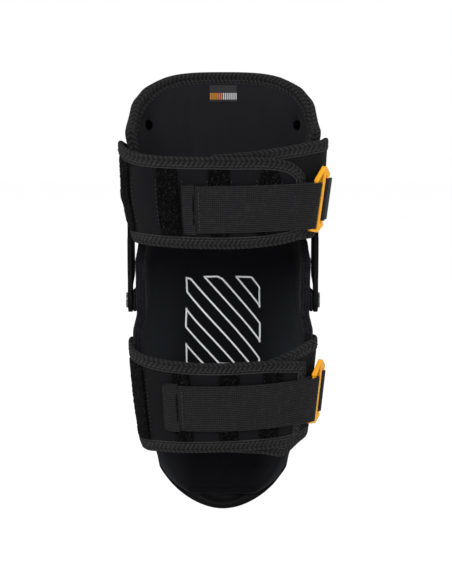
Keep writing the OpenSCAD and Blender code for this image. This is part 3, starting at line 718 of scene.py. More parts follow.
def elastic_look():
    """Woven elastic: ribs along the strap crossed by fine picks."""
    look = Look("strap_elastic", roughness=0.78, sheen=0.05, specular=0.12)
    u, v, _ = look.split(look.uv)
    rib = look.ridge(v, 0.0019)
    pick = look.ridge(u, 0.0019)
    cross = look.math("MULTIPLY", rib, pick)
    height = look.math("ADD", look.math("MULTIPLY", cross, 0.7), look.math("MULTIPLY", rib, 0.3))
    slub = look.noise(260, 3)
    base = look.mix(height, "0a0a0b", "2c2c2e")
    look.colour(look.mix(look.math("MULTIPLY", look.ramp(slub, 0.5, 0.8), 0.4), base, "303032"))
    look.bump((height, 0.0006), (slub, 0.0003))
    look.roughness(height, 0.88, 0.7)
    return look.material


def webbing_look():
    look = Look("webbing_nylon", roughness=0.6, sheen=0.05, specular=0.25)
    u, v, _ = look.split(look.uv)
    diagonal = look.ridge(look.math("ADD", u, look.math("PINGPONG", v, 0.003)), 0.0022)
    look.colour(look.mix(diagonal, "0b0b0c", "1f1f21"))
    look.bump((diagonal, 0.0005), (look.noise(900, 2), 0.0001))
    return look.material


def plastic_look(name, dark, light, roughness=(0.38, 0.55), grain=0.00006, specular=0.3):
    """Moulded plastic with a fine spark-eroded grain, scuffs and paler edges."""
    look = Look(name, specular=specular)
    grain_noise = look.noise(1800, 3)
    scuff = look.ramp(look.noise(70, 5, 0.7), 0.52, 0.78)
    geometry = look.tree.nodes.new("ShaderNodeNewGeometry")
    edge = look.ramp(geometry.outputs["Pointiness"], 0.52, 0.62)
    base = look.mix(look.noise(18, 3), dark, light)
    look.colour(look.mix(look.math("MULTIPLY", edge, 0.35), base, light))
    look.roughness(scuff, *roughness)
    look.bump((grain_noise, grain), (look.noise(30, 2), 0.00015))
    return look.material


def ring_look():
    """Amber moulded nylon, a little translucent at its edges."""
    look = plastic_look("ring_nylon", "f0a010", "ffb828", roughness=(0.32, 0.48), grain=0.00004)
    bsdf = next(n for n in look.node_tree.nodes if n.type == "BSDF_PRINCIPLED")
    bsdf.inputs["Subsurface Weight"].default_value = 0.1
    bsdf.inputs["Subsurface Radius"].default_value = (0.003, 0.0012, 0.0003)
    return look


def rubber_look(name, dark, light, specular):
    """Moulded rubber with dust in its pores."""
    look = Look(name, roughness=0.75, specular=specular)
    dust = look.ramp(look.noise(90, 5, 0.7), 0.5, 0.8)
    look.colour(look.mix(look.math("MULTIPLY", dust, 0.3), dark, light))
    look.bump((look.cells(900), 0.00025), (look.noise(1500, 2), 0.0001))
    look.roughness(dust, 0.6, 0.85)
    return look.material


def steel_look():
    look = Look("rivet_steel", roughness=0.35, specular=0.5)
    look.bsdf.inputs["Metallic"].default_value = 1.0
    brushed = look.noise(700, 4)
    look.colour(look.mix(brushed, "55575a", "7d7f82"))
    look.roughness(brushed, 0.25, 0.5)
    look.bump((brushed, 0.00005))
    return look.material


def print_look():
    """Pale silicone print, slightly cracked and picked by use."""
    look = Look("silicone_print", roughness=0.5, specular=0.3)
    wear = look.ramp(look.noise(420, 5, 0.7), 0.64, 0.8)
    base = look.mix(look.noise(60), "e2e3e6", "f2f3f5")
    look.colour(look.mix(look.math("MULTIPLY", wear, 0.2), base, "6a6b6e"))
    look.bump((look.noise(1300, 2), 0.00008))
    return look.material


def tag_look():
    """Woven tag: dark ground with plain orange and white bars along its lower edge."""
    look = Look("tag_weave", roughness=0.7, sheen=0.05)
    u, v, _ = look.split(look.uv)
    threads = look.math("MULTIPLY", look.ridge(u, 0.0007), look.ridge(v, 0.0007))
    ground = look.mix(threads, "121214", "232326")
    low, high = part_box("thigh_tag")
    bar_band = look.math("MULTIPLY", look.math("GREATER_THAN", v, low.z + 0.0025),
                         look.math("LESS_THAN", v, low.z + 0.0095))
    bars = look.math("GREATER_THAN", look.ridge(u, 0.0023), 0.3)
    mask = look.math("MULTIPLY", bar_band, bars)
    half = (high.x - low.x) / 2
    left = look.math("GREATER_THAN", u, half)
    hue = look.mix(left, "b4b4b8", "c07a0c")
    look.colour(look.mix(mask, ground, hue))
    look.bump((threads, 0.0001), (mask, 0.0002))
    return look.material


LINING = lining_look("liner_jersey", "141417", "202023")
# its last value turns on painted light: the knee lining is painted paler towards its sides and lower part
KNEE_LINING = lining_look("knee_liner_jersey", "050508", "0c0d12", 0.075)
WING = wing_look()
# the fourth colour is the painted highlight along the tape's corded edges
TAPE = tape_look("binding_weave", "020202", "323233", "4a4a4b", "2e2e2f")
RIM_TAPE = rim_look()
THREAD = thread_look()
LOOP = loop_look()
ELASTIC = elastic_look()
WEBBING = webbing_look()
SHELL = plastic_look("shell_moulded", "030304", "08080a", roughness=(0.5, 0.65), grain=0.00012, specular=0.12)
ARM = plastic_look("arm_moulded", "030304", "070708", roughness=(0.6, 0.75), grain=0.0001, specular=0.08)
RING = ring_look()
RUBBER = rubber_look("tread_rubber", "0a0a0b", "1c1c1d", 0.2)
STEEL = steel_look()
PRINT = print_look()
TAG = tag_look()
WASHER = plastic_look("washer_nylon", "141415", "1f1f21")
BUTTON = rubber_look("button_rubber", "010101", "060607", 0.03)


# ---------- panels and tapes over the CAD solids ----------
def widen(outline, low, high, ends):
    """An outline moved outward by low and high in z, and by ends in degrees."""
    angles, lo, hi = outline
    angles = angles.copy()
    angles[0] -= ends
    angles[-1] += ends
    return angles, lo - low, hi + high


def rim_path(outline, root=None):
    """The edge of an outline with the sheet on the left: the whole loop, or all but its root side."""
    angles, lo, hi = outline
    bottom = np.stack([angles, lo], 1)
    top = np.stack([angles, hi], 1)[::-1]
    if root == "low":
        return np.concatenate([bottom, top])
    if root == "high":
        return np.concatenate([top, bottom])
    middle = len(angles) // 2
    return np.concatenate([bottom[middle:], top, bottom[:middle + 1]])


def rounded_path(path, mean_r, radius):
    """Rounds the corners of an (angle, z) path, measured in millimetres along the sheet."""
    flat = np.stack([np.radians(path[:, 0]) * mean_r, path[:, 1]], 1)
    flat = round_corners(flat, radius)
    return np.stack([np.degrees(flat[:, 0] / mean_r), flat[:, 1]], 1)


def step_up(distance, at, width):
    """Smooth step from 0 to 1 centred at a distance."""
    x = np.clip((distance - at) / width + 0.5, 0, 1)
    return x * x * (3 - 2 * x)


def bump_at(panel, angle, z, radius, tall=1.0):
    """Bell over the grid, 1 at a spot, falling off over a radius in millimetres, stretched upright."""
    across = np.radians(panel.angle - angle) * panel.mean_r
    return np.exp(-(across ** 2 + ((panel.z - z) / tall) ** 2) / (2 * radius ** 2))


def spot(solid):
    """Angle in degrees and height of a small solid."""
    x, y, z = solid.middle
    return math.degrees(math.atan2(y, x)), z


def waves(panel, size, seed):
    """Soft uneven relief over a panel's grid, about -1 to 1."""
    local = np.random.default_rng(seed)
    total = np.zeros_like(panel.angle)
    for _ in range(10):
        ka, kz = local.normal(size=2) / size
        phase = local.uniform(0, 2 * math.pi)
        total += np.sin(panel.along * ka * 2 + panel.z * kz * 2 + phase)
    return total / 4


# Thigh pad: lining and foam as one puffed pad, pulled in at two buttons
BUTTONS = [spot(s) for s in islands("thigh_buttons")]
thigh_solids = islands("thigh_liner") + islands("thigh_foam")
thigh_edge = islands("thigh_binding")
thigh_field = Field(thigh_solids + thigh_edge, -12, 192, 60, 242)


def dimples(panel):
    pull = sum(bump_at(panel, a, z, 2.0, 3.2) * 5.6 + bump_at(panel, a, z, 8, 1.5) * 1.5 for a, z in BUTTONS)
    return pull + 0.25 * waves(panel, 22, 3), 0.0


thigh_outline = widen(span(thigh_solids, -3, 183), 3, 5, 1.0)
thigh_pad = Panel("thigh_pad", thigh_field, thigh_outline, cell=3.2, edge=8.0, shares=(0.06, 0.86),
                  relief=dimples, material=LINING, edge_share=0.4)
held = (thigh_pad.per_point(thigh_pad.to_edge) < 6) | thigh_pad.is_outer()
for a, z in BUTTONS:
    held |= thigh_pad.per_point(bump_at(thigh_pad, a, z, 5)) > 0.5
puff(thigh_pad, held, 3.0, 2.2, 0.3)
subdivide(thigh_pad.obj)
finish_piece(thigh_pad.obj, "thigh_section", "liner_fabric", "thigh_liner", "thigh_foam")

thigh_rim = rim_path(span(thigh_solids + thigh_edge, -7.5, 187.5))
thigh_rim = rounded_path(thigh_rim, 95, 14)
thigh_tape = Tape("thigh_pad_binding", thigh_field, thigh_rim, 12.5, 10.2, (TAPE, THREAD), closed=True, share=0.5,
                  stitch_side=(-1,))
finish_piece(thigh_tape.obj, "thigh_section", "binding_tape", "thigh_binding")

# Knee pad: lining, foam and gel as one puffed pad
knee_solids = islands("pad_liner") + islands("pad_foam")
knee_edge = islands("pad_binding")
knee_field = Field(islands("pad_liner") + knee_edge, -14, 194, -236, 70)
pad_outer = Field(islands("pad_foam"), -14, 194, -236, 70)
knee_field.table[..., 1] = pad_outer.table[..., 1]
behind = np.maximum(10 - knee_field.angles, knee_field.angles - 170) / 14       # 0 to 1 towards the side rims
below = (-14 - knee_field.zs) / 16                                             # 0 to 1 below the hinges
knee_field.table += 3.2 * (np.clip(behind, 0, 1)[:, None] * np.clip(below, 0, 1)[None, :])[..., None]


def knee_folds(panel):
    """Two soft cushions that run down beside the kneecap's hollow."""
    cushions = sum(np.exp(-((panel.angle - a) / 13) ** 2) for a in (38, 142))
    ends = step_up(panel.z, -150, 60) * (1 - step_up(panel.z, 52, 30))
    return 0.35 * waves(panel, 30, 11) - 2.6 * cushions * ends, -0.3


LOW_REACH = 10.0                       # how far the pad's round end comes down to the shell's edge at its sides


def end_side(angle):
    """1 at both sides of the round end, 0 at its tip and up the pad's sides."""
    from_tip = np.abs(angle - 90)
    return step_up(from_tip, 26, 34) * (1 - step_up(from_tip, 72, 14))


def fuller_end(outline):
    angles, low, high = outline
    return angles, low - LOW_REACH * end_side(angles), high


knee_outline = widen(fuller_end(span(knee_solids, -3.5, 183.5)), 0, 3, 1.5)
knee_pad = Panel("knee_pad", knee_field, knee_outline, cell=4.5, edge=7.0, shares=(0, 0.96), relief=knee_folds,
                 material=KNEE_LINING, edge_share=0.45)
held = (knee_pad.per_point(knee_pad.to_edge) < 5) | knee_pad.is_outer()
puff(knee_pad, held, 3.0, 1.6, 0.3)
subdivide(knee_pad.obj)
finish_piece(knee_pad.obj, "shin_section", "liner_fabric", "pad_liner", "pad_foam", "gel_insert")

# Its two sides are bound with tape; along its top and round its lower end the lining is turned in
TAPE_LOW, TAPE_HIGH = -152.0, 46.0
OVERLAP = 6                            # path points shared by a tape and a hem
knee_rim = rim_path(fuller_end(span(knee_solids + knee_edge, -10, 190)))
knee_rim = rounded_path(knee_rim, 86, 12)
knee_rim = np.roll(knee_rim, -int(np.argmin(knee_rim[:, 1])), 0)
taped = (knee_rim[:, 1] > TAPE_LOW) & (knee_rim[:, 1] < TAPE_HIGH)
turns = [0] + list(np.nonzero(np.diff(taped.astype(int)))[0] + 1) + [len(taped)]
runs = [(bool(taped[a]), knee_rim[max(a - OVERLAP * (not taped[a]), 0):b + OVERLAP * (not taped[a])])
        for a, b in zip(turns, turns[1:])]
low_hem = np.concatenate([runs[-1][1], runs[0][1]])
sides, hems = [path for is_tape, path in runs if is_tape], [low_hem, runs[2][1]]
for side, path in zip(("right", "left"), sides):
    tape = Tape(f"knee_pad_binding_{side}", knee_field, path, 11.0, 9.4, (RIM_TAPE, THREAD), stitch_side=(-1,))
    finish_piece(tape.obj, "shin_section", "binding_tape", "pad_binding")
for end, path in zip(("low", "high"), hems):
    hem = Tape(f"knee_pad_hem_{end}", knee_field, path, 7.0, 8.2, (KNEE_LINING, THREAD), share=0.48, stitch_side=(),
               pucker=0.1)
    finish_piece(hem.obj, "shin_section", "liner_fabric", "pad_binding")


# Wings: stretch panels with a taped edge, quilted where the loop strips are sewn on
class Wing:
    def __init__(self, node, body, a0, a1, root, seed, seams=()):
        solids, edges = islands(node), islands(node + "_binding")
        z0 = min(s.low[2] for s in edges) - 4
        z1 = max(s.high[2] for s in edges) + 4
        self.field = Field(solids + edges, a0 - 8, a1 + 8, z0, z1)
        self.outline = span(solids, a0, a1)
        self.seams = seams
        self.seed = seed
        self.panel = Panel(node + "_panel", self.field, widen(self.outline, 5, 5, 1.5), cell=3.4, edge=2.6,
                           shares=(0.1, 0.9), relief=self.relief, material=WING)
        held = self.panel.per_point(self.panel.to_edge) < 5.5
        for seam in seams:
            held |= np.abs(self.panel.per_point(self.panel.angle) - seam) < 1.1
        puff(self.panel, held, 2.5, 1.0, 0.8)
        subdivide(self.panel.obj)
        self.panel.obj.data.materials.append(THREAD)
        for seam in seams:
            self.stitch(seam)
        finish_piece(self.panel.obj, body, "wing_fabric", node)
        rim = rim_path(span(solids + edges, a0 - 4.5 * (root == "high"), a1 + 4.5 * (root == "low")), root)
        mean_r = float(np.mean(self.field.radius(rim[:, 0], rim[:, 1], 0.5)))
        self.rim = rounded_path(rim, mean_r, 5)
        self.tape = Tape(node + "_tape", self.field, self.rim, 12.2, 5.2, (TAPE, THREAD))
        finish_piece(self.tape.obj, body, "binding_tape", node + "_binding")

    def stitch(self, seam):
        """A row of stitches up the outer face, just inside the smooth fabric beside a seam."""
        length, gap, margin = 2.6, 1.8, 10.0
        angles, low, high = self.outline
        a = seam + (1.3 if self.smooth_after(seam) else -1.3)
        z0, z1 = np.interp(a, angles, low) + margin, np.interp(a, angles, high) - margin
        starts = np.arange(z0, z1 - length, length + gap)
        rows = [self.field.place(a, z + length * np.array([0, 0.5, 1]), 0.9, np.array([0.0, 0.35, 0.0]))
                for z in starts]
        add_threads(self.panel.obj, np.array(rows), 0.42, 1)

    def smooth_after(self, seam):
        """Whether the smooth fabric lies at larger angles than the seam."""
        return self.seams.index(seam) % 2 == 1

    def relief(self, panel):
        groove = np.zeros_like(panel.angle)
        for seam in self.seams:
            across = np.radians(panel.angle - seam) * panel.mean_r
            groove += np.exp(-(across / 1.6) ** 2)
        soft = 0.3 * waves(panel, 16, self.seed)
        return soft, soft - 0.5 * groove


def strip_edges(node):
    """Angles of both sides of each loop strip."""
    sides = []
    for solid in islands(node):
        a = np.degrees(np.arctan2(solid.points[:, 1], solid.points[:, 0])) % 360
        sides += [a.min(), a.max()]
    return sorted(sides)


thigh_seams, calf_seams = strip_edges("thigh_loop_strips"), strip_edges("calf_loop_strips")
wings = {
    "thigh_wing_left": Wing("thigh_wing_left", "thigh_section", 160, 326, "low", 21, thigh_seams),
    "thigh_wing_right": Wing("thigh_wing_right", "thigh_section", -96, 19, "high", 22),
    "calf_wing_left": Wing("calf_wing_left", "shin_section", 160, 335, "low", 23, calf_seams),
    "calf_wing_right": Wing("calf_wing_right", "shin_section", -96, 19, "high", 24),
}


# Loop strips: a dense fuzzy pile, uneven at its surface
def pile(panel):
    return 0.0, 0.25 * rng.normal(size=panel.angle.shape)


def angle_range(solid, turn=0.0):
    a = (np.degrees(np.arctan2(solid.points[:, 1], solid.points[:, 0])) - turn) % 360 + turn
    return a.min(), a.max()


for node, body in (("thigh_loop_strips", "thigh_section"), ("calf_loop_strips", "shin_section")):
    strips = []
    for k, solid in enumerate(sorted(islands(node), key=lambda s: angle_range(s)[0])):
        a0, a1 = angle_range(solid)
        field = Field([solid], a0 - 2, a1 + 2, solid.low[2] - 4, solid.high[2] + 4, step_a=1.5, passes=1)
        outline = widen(span([solid], a0 + 0.3, a1 - 0.3, 0.8), 1.5, 1.5, 0.2)
        strips.append(Panel(f"{node}_{k}", field, outline, cell=1.3, edge=0.9, relief=pile, material=LOOP).obj)
    for strip in strips:
        finish_piece(strip, body, "loop_fabric", node)


# ---------- straps ----------
def section_loop(solid, triangles_z):
    """The closed outline of a solid cut level at a height."""
    points, triangles = solid.points, solid.triangles
    pieces = []
    for t in triangles:
        cut = []
        for a, b in ((0, 1), (1, 2), (2, 0)):
            p, q = points[t[a]], points[t[b]]
            if (p[2] - triangles_z) * (q[2] - triangles_z) < 0:
                s = (triangles_z - p[2]) / (q[2] - p[2])
                cut.append(tuple(np.round(p[:2] + s * (q - p)[:2], 3)))
        if len(cut) == 2 and cut[0] != cut[1]:
            pieces.append(cut)
    near = {}
    for a, b in pieces:
        near.setdefault(a, []).append(b)
        near.setdefault(b, []).append(a)
    loop = [pieces[0][0]]
    seen = {loop[0]}
    while True:
        onward = [p for p in near[loop[-1]] if p not in seen]
        if not onward:
            return np.array(loop)
        loop.append(onward[0])
        seen.add(onward[0])


def centre_line(solid, z, count):
    """Middle line of a thin band cut level, from one end to the other."""
    loop = section_loop(solid, z)
    back, ahead = loop - np.roll(loop, 1, 0), np.roll(loop, -1, 0) - loop
    turn = np.abs(back[:, 0] * ahead[:, 1] - back[:, 1] * ahead[:, 0])
    turn /= np.linalg.norm(back, axis=1) * np.linalg.norm(ahead, axis=1) + 1e-9
    corners = sorted(np.argsort(-turn)[:4])
    loop = np.roll(loop, -corners[0], 0)
    corners = [c - corners[0] for c in corners] + [len(loop)]
    closed = np.concatenate([loop, loop[:1]])
    sides = [closed[a:b + 1] for a, b in zip(corners, corners[1:])]
    sides = sorted(sides, key=lambda s: -np.linalg.norm(np.diff(s, axis=0), axis=1).sum())[:2]
    return (spread(sides[0], count) + spread(sides[1][::-1], count)) / 2


def spread(path, count):
    """A polyline as the given number of evenly spaced points."""
    lengths = np.concatenate([[0], np.cumsum(np.linalg.norm(np.diff(path, axis=0), axis=1))])
    at = np.linspace(0, lengths[-1], count)
    return np.stack([np.interp(at, lengths, path[:, k]) for k in range(2)], 1)


def heights_near(points, line):
    """Mean height of the points nearest to each place of a line."""
    distance = np.linalg.norm(points[None, :, :2] - line[:, None, :], axis=2)
    nearest = np.argsort(distance, axis=1)[:, :4]
    return blur(points[nearest, 2].mean(1), 8, 0)


class Band:
    """A woven band that follows a thin CAD band, lean and all, with rounded selvedges."""

    LEVEL = 19.0

    def __init__(self, name, solid, start, thickness, material, edge=0.9, ripple=0.12):
        middle = (solid.low[2] + solid.high[2]) / 2
        self.z0 = middle - self.LEVEL
        lines = []
        for z in (middle - self.LEVEL, middle + self.LEVEL):
            line = centre_line(solid, z + 0.03, 190)
            if np.linalg.norm(line[0] - start) > np.linalg.norm(line[-1] - start):
                line = line[::-1]
            lines.append(blur(line, 3, 0))
        self.base, self.top = lines
        self.line = (lines[0] + lines[1]) / 2
        self.low = heights_near(solid.points[solid.points[:, 2] < solid.low[2] + 6], self.line)
        self.high = heights_near(solid.points[solid.points[:, 2] > solid.high[2] - 6], self.line)
        ahead = np.gradient(self.line, axis=0)
        ahead /= np.linalg.norm(ahead, axis=1, keepdims=True)
        self.side = np.stack([ahead[:, 1], -ahead[:, 0]], 1)
        self.at = np.concatenate([[0], np.cumsum(np.linalg.norm(np.diff(self.line, axis=0), axis=1))])
        height = float(np.mean(self.high - self.low))
        across = stations(height, 1.6, edge)
        share = rounded(np.minimum(across, height - across), edge)
        cord = 1 + 0.12 * np.exp(-((np.minimum(across, height - across) - 2.2) / 1.0) ** 2)
        sway = ripple * 3 * blur(rng.normal(size=len(self.line)), 12, 0)
        rows, vs = [], []
        for sign, order in ((1, slice(None)), (-1, slice(-2, 0, -1))):
            for v, size in zip(across[order], (share * cord)[order]):
                z = self.low + (self.high - self.low) * v / height
                rows.append(self.place(np.arange(len(z)), z, sign * thickness / 2 * size + sway))
                vs.append(v)
        points = np.stack(rows, 1)
        n, count = points.shape[:2]
        uvs = np.stack([np.repeat(self.at[:, None], count, 1), np.repeat([vs], n, 0)], -1)
        faces = grid_faces(n, count, wrap_v=True)
        faces += [list(range(count)), list(range((n - 1) * count, n * count))[::-1]]
        self.obj = make_object(name, points.reshape(-1, 3), faces, uvs.reshape(-1, 2), material)
        outward_faces(self.obj)
        self.obj.data.materials.append(THREAD)

    def place(self, index, z, off):
        """Points on the band at stations along it, at heights, moved off its middle surface."""
        index, z, off = np.broadcast_arrays(index, z, off)
        along = np.arange(len(self.line))
        rise = ((z - self.z0) / (2 * self.LEVEL))[:, None]
        both = [np.stack([np.interp(index, along, part[:, k]) for k in (0, 1)], 1)
                for part in (self.base, self.top, self.side)]
        flat = both[0] * (1 - rise) + both[1] * rise + both[2] * off[:, None]
        return np.concatenate([flat, z[:, None]], 1)

    def station(self, distance):
        return float(np.interp(distance, self.at, np.arange(len(self.at))))

    def stitch(self, distance, off, length=2.6, gap=1.4, inset=2.5):
        """A vertical row of stitches at a distance along the band, off its middle surface."""
        k = self.station(distance)
        low, high = (np.interp(k, np.arange(len(self.low)), part) for part in (self.low, self.high))
        starts = np.arange(low + inset, high - inset - length, length + gap)
        rows = [self.place(k, z + length * np.array([0, 0.5, 1]), off * np.array([1, 1.12, 1])) for z in starts]
        add_threads(self.obj, np.array(rows), 0.4, 1)


def joint(name):
    return next(j for j in frame["joints"] if j["name"] == name)


def make_strap(kind):
    """The elastic strap: a woven band along the CAD strap, stitched near both ends."""
    tab = islands(f"{kind}_strap_tab")[0]
    strap = Band(f"{kind}_strap_band", islands(f"{kind}_strap")[0], tab.middle[:2], 1.9, ELASTIC)
    length = strap.at[-1]
    for distance, off in ((3.0, 1.05), (length - 3.5, 1.05), (length - 12, 1.05), (3.0, -1.05)):
        strap.stitch(distance, off)
    fold = int(np.argmax(strap.line[:, 0]))
    z = (strap.low[fold] + strap.high[fold]) / 2
    ends = [strap.place(strap.station(strap.at[fold] - back), np.array([z]), 0)[0] * MM for back in (34, 6)]
    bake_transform(strap.obj)
    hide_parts(f"{kind}_strap")


CORNER_R = 5.0                         # the strap end's rounded corners
SLOT_HALF = 15.5                       # half height of its pull slot, drawn as a near-black bead as painted shade
for kind, body in (("thigh", "thigh_section"), ("calf", "shin_section")):
    make_strap(kind)
    tab = islands(f"{kind}_strap_tab")[0]
    a0, a1 = angle_range(tab)
    tab_field = Field([tab], a0 - 3, a1 + 3, tab.low[2] - 4, tab.high[2] + 4, step_a=1.0, passes=1)
    tab_outline = span([tab], a0 + 0.3, a1 - 0.3, 0.5)
    tab_r = float(np.linalg.norm(tab.middle[:2]))
    from_end = np.radians(tab_outline[0] - tab_outline[0][0]) * tab_r
    corner_cut = CORNER_R - np.sqrt(CORNER_R ** 2 - np.maximum(CORNER_R - from_end, 0) ** 2)
    tab_outline = tab_outline[0], tab_outline[1] + corner_cut, tab_outline[2] - corner_cut
    tab_panel = Panel(f"{kind}_strap_end", tab_field, tab_outline, cell=2.0, edge=1.1, shares=(0, 1), offs=(0.1, 0.35),
                      material=ELASTIC)
    subdivide(tab_panel.obj)
    # painted shade: a thick bead of the near-black loop material stands in for the shade inside the pull slot
    tab_panel.obj.data.materials.append(LOOP)
    slot_z = tab.middle[2] + SLOT_HALF * np.linspace(-1, 1, 9)
    add_threads(tab_panel.obj, tab_field.place(a1 - 1.6, slot_z, 1.0, 0.2)[None], 0.9, 1)
    finish_piece(tab_panel.obj, f"{kind}_tab_body", "elastic", f"{kind}_strap_tab")


# ---------- rings and keepers ----------
def softened(node, name, voxel, smoothing, material):
    """A copy of a CAD node with rounded edges."""
    obj = bpy.data.objects.new(name, frame["nodes"][node].data.copy())
    bpy.context.scene.collection.objects.link(obj)
    remesh = obj.modifiers.new("remesh", "REMESH")
    remesh.mode = "VOXEL"
    remesh.voxel_size = voxel * MM
    remesh.use_smooth_shade = True
    smooth = obj.modifiers.new("smooth", "SMOOTH")
    smooth.factor, smooth.iterations = 0.5, smoothing
    apply_modifiers(obj)
    obj.data.materials.clear()
    obj.data.materials.append(material)
    return obj


def keeper(kind, body):
    """Webbing folded round the ring's far bar, its two layers sewn flat behind it."""
    swing = joint(f"{kind}_ring_swing")
    pivot = np.array(swing["pos_m"]) / MM
    axis = Vector(swing["axis"]).normalized()
    solid = islands(f"{kind}_keeper")[0]
    flat = solid.points - pivot
    flat = flat - np.outer(flat @ np.array(axis), np.array(axis))
    reach = np.linalg.norm(flat, axis=1)
    tip = flat[reach > reach.max() - 1.5].mean(0)
    axial = (solid.points - pivot) @ np.array(axis)
    pivot = pivot + np.array(axis) * (axial.min() + axial.max()) / 2
    length = float(np.linalg.norm(tip))
    ahead = Vector(tip).normalized()
    side = axis.cross(ahead).normalized()
    out = Vector((pivot[0], pivot[1], 0)).normalized()
    turn = 1 if side.dot(out) > 0 else -1
    round_r, thick = 3.35, 1.25
    path = [(length, 0.72 * turn), (length * 0.55, 0.72 * turn), (length * 0.3, 1.2 * turn)]
    path += [(round_r * math.cos(a), turn * round_r * math.sin(a)) for a in np.radians(np.arange(50, 311, 13))]
    path += [(length * 0.3, -1.2 * turn), (length * 0.55, -0.72 * turn), (length, -0.72 * turn)]
    path, at = resample(np.array(path), 1.0)
    path = blur(path, 3, 0)
    half = 21.8
    step = np.gradient(path, axis=0)
    step /= np.linalg.norm(step, axis=1, keepdims=True)
    normal = np.stack([step[:, 1], -step[:, 0]], 1)
    across = stations(2 * half, 1.8, 0.9)
    share = rounded(np.minimum(across, 2 * half - across), 0.9)
    frame3 = np.array([ahead, side, axis])
    rings_points, vs = [], []
    for sign, order in ((1, slice(None)), (-1, slice(-2, 0, -1))):
        push = sign * thick / 2 * share[order]
        plane = path[:, None, :] + normal[:, None, :] * push[None, :, None]
        v = np.repeat((across[order] - half)[None, :], len(path), 0)
        rings_points.append(np.concatenate([plane, v[..., None]], -1))
        vs.append(v)
    local = np.concatenate(rings_points, 1)
    v = np.concatenate(vs, 1)
    count = local.shape[1]
    points = pivot + local.reshape(-1, 3) @ frame3
    uvs = np.stack([np.repeat(at[:, None], count, 1), v], -1).reshape(-1, 2)
    faces = grid_faces(len(path), count, wrap_v=True)
    faces += [list(range(count)), list(range((len(path) - 1) * count, len(path) * count))[::-1]]
    obj = make_object(f"{kind}_keeper_webbing", points, faces, uvs, WEBBING)
    outward_faces(obj)
    obj.data.materials.append(THREAD)
    for along in (length - 4, length - 14):
        rows = []
        for z in np.arange(-half + 2.5, half - 4, 4.2):
            for sign in (1, -1):
                local = np.array([[along, sign * 1.42, z + k * 1.4] for k in range(3)])
                rows.append(pivot + local @ frame3)
        add_threads(obj, np.array(rows), 0.4, 1)
    return finish_piece(obj, body, "webbing", f"{kind}_keeper")


for kind, body in (("thigh", "thigh_section"), ("calf", "shin_section")):
    ring = softened(f"{kind}_ring", f"{kind}_ring_moulded", 0.5, 3, RING)
    finish_piece(ring, f"{kind}_ring_body", "ring_plastic", f"{kind}_ring")
    keeper(kind, body)


# ---------- side arms ----------
for node in ("arm_left", "arm_right"):
    arm = softened(node, node + "_moulded", 0.6, 4, ARM)
    finish_piece(arm, "thigh_section", "arm_plastic", node)


# ---------- hard shells on the front ----------
def shell(node, name, body, slot, a0, a1, relief, material, cell=3.0, edge=1.4, passes=3, step_a=2.0, step_z=4.0,
          shares=(0, 1), levels=1):
    solids = islands(node)
    low, high = min(s.low[2] for s in solids), max(s.high[2] for s in solids)
    field = Field(solids, a0 - 4, a1 + 4, low - 4, high + 4, step_a=step_a, step_z=step_z, passes=passes)
    outline = span(solids, a0, a1)
    panel = Panel(name, field, outline, cell=cell, edge=edge, shares=shares, relief=relief, material=material)
    if levels:
        subdivide(panel.obj, levels)
    finish_piece(panel.obj, body, slot, node)
    return panel


def cap_relief(panel):
    rim = step_up(panel.to_edge, 3.5, 3) * (1 - step_up(panel.to_edge, 9, 3))
    return 0.0, 0.9 * rim


def plate_relief(panel):
    rim = step_up(panel.to_edge, 3.5, 3) * (1 - step_up(panel.to_edge, 9, 3))
    return 0.0, 0.8 * rim


def shin_relief(panel):
    angles, low = panel.angle[:, 0], panel.z[:, 0]
    flat = np.stack([np.radians(angles) * panel.mean_r, low], 1)
    here = np.stack([np.radians(panel.angle) * panel.mean_r, panel.z], -1)
    lip_distance = np.min(np.linalg.norm(here[:, :, None, :] - flat[None, None], axis=-1), axis=2)
    bead = np.exp(-((lip_distance - 5.5) / 5.0) ** 2)
    ribs = sum(np.exp(-(np.radians(panel.angle - a) * panel.mean_r / 3.0) ** 2) for a in (62, 90, 118))
    ribs = ribs * step_up(panel.to_edge, 16, 10)
    rim = step_up(panel.to_edge, 3.5, 3) * (1 - step_up(panel.to_edge, 9, 3))
    return -6.2 * bead * (1 - end_side(panel.angle)), 1.1 * ribs + 0.8 * rim


def cut_vents(panel, angles, z, half_width, half_height):
    """Cuts tall slots with round ends through a shell."""
    turn = np.radians(np.arange(0, 180, 15) + 7.5)
    arch = np.stack([half_width * np.cos(turn), half_height + half_width * np.sin(turn)], 1)
    outline = np.concatenate([arch, -arch])
    reach = panel.mean_r
    points, faces = [], []
    for a in np.radians(angles):
        ahead, side = np.array([np.cos(a), np.sin(a), 0]), np.array([-np.sin(a), np.cos(a), 0])
        first, count = len(points), len(outline)
        for r in (reach * 0.6, reach * 1.4):
            points += [r * ahead + u * side + np.array([0, 0, z + v]) for u, v in outline]
        faces += [[first + k, first + (k + 1) % count, first + count + (k + 1) % count, first + count + k]
                  for k in range(count)]
        faces += [list(range(first, first + count))[::-1], list(range(first + count, first + 2 * count))]
    cutter = make_object("vent_cutter", np.array(points), faces)
    outward_faces(cutter)
    outward_faces(panel.obj)
    boolean = panel.obj.modifiers.new("vents", "BOOLEAN")
    boolean.operation, boolean.object = "DIFFERENCE", cutter
    apply_modifiers(panel.obj)
    bpy.data.objects.remove(cutter)


shell("knee_cap", "knee_cap_shell", "shin_section", "shell_plastic", -6.5, 186.5, cap_relief, SHELL)
shell("shin_plate", "shin_plate_shell", "shin_section", "shell_plastic", 21, 159, shin_relief, SHELL)
plate = shell("thigh_plate", "thigh_plate_shell", "thigh_section", "shell_plastic", -3.5, 183.5, plate_relief, SHELL)
cut_vents(plate, [90 + 13 * k for k in range(-2, 3)], 150, 4, 22)
shell("knee_tread", "knee_tread_rubber", "shin_section", "black_rubber", 56.5, 123.5, None, RUBBER, cell=1.6,
      edge=0.8, passes=0, step_a=0.7, step_z=1.0, levels=0)


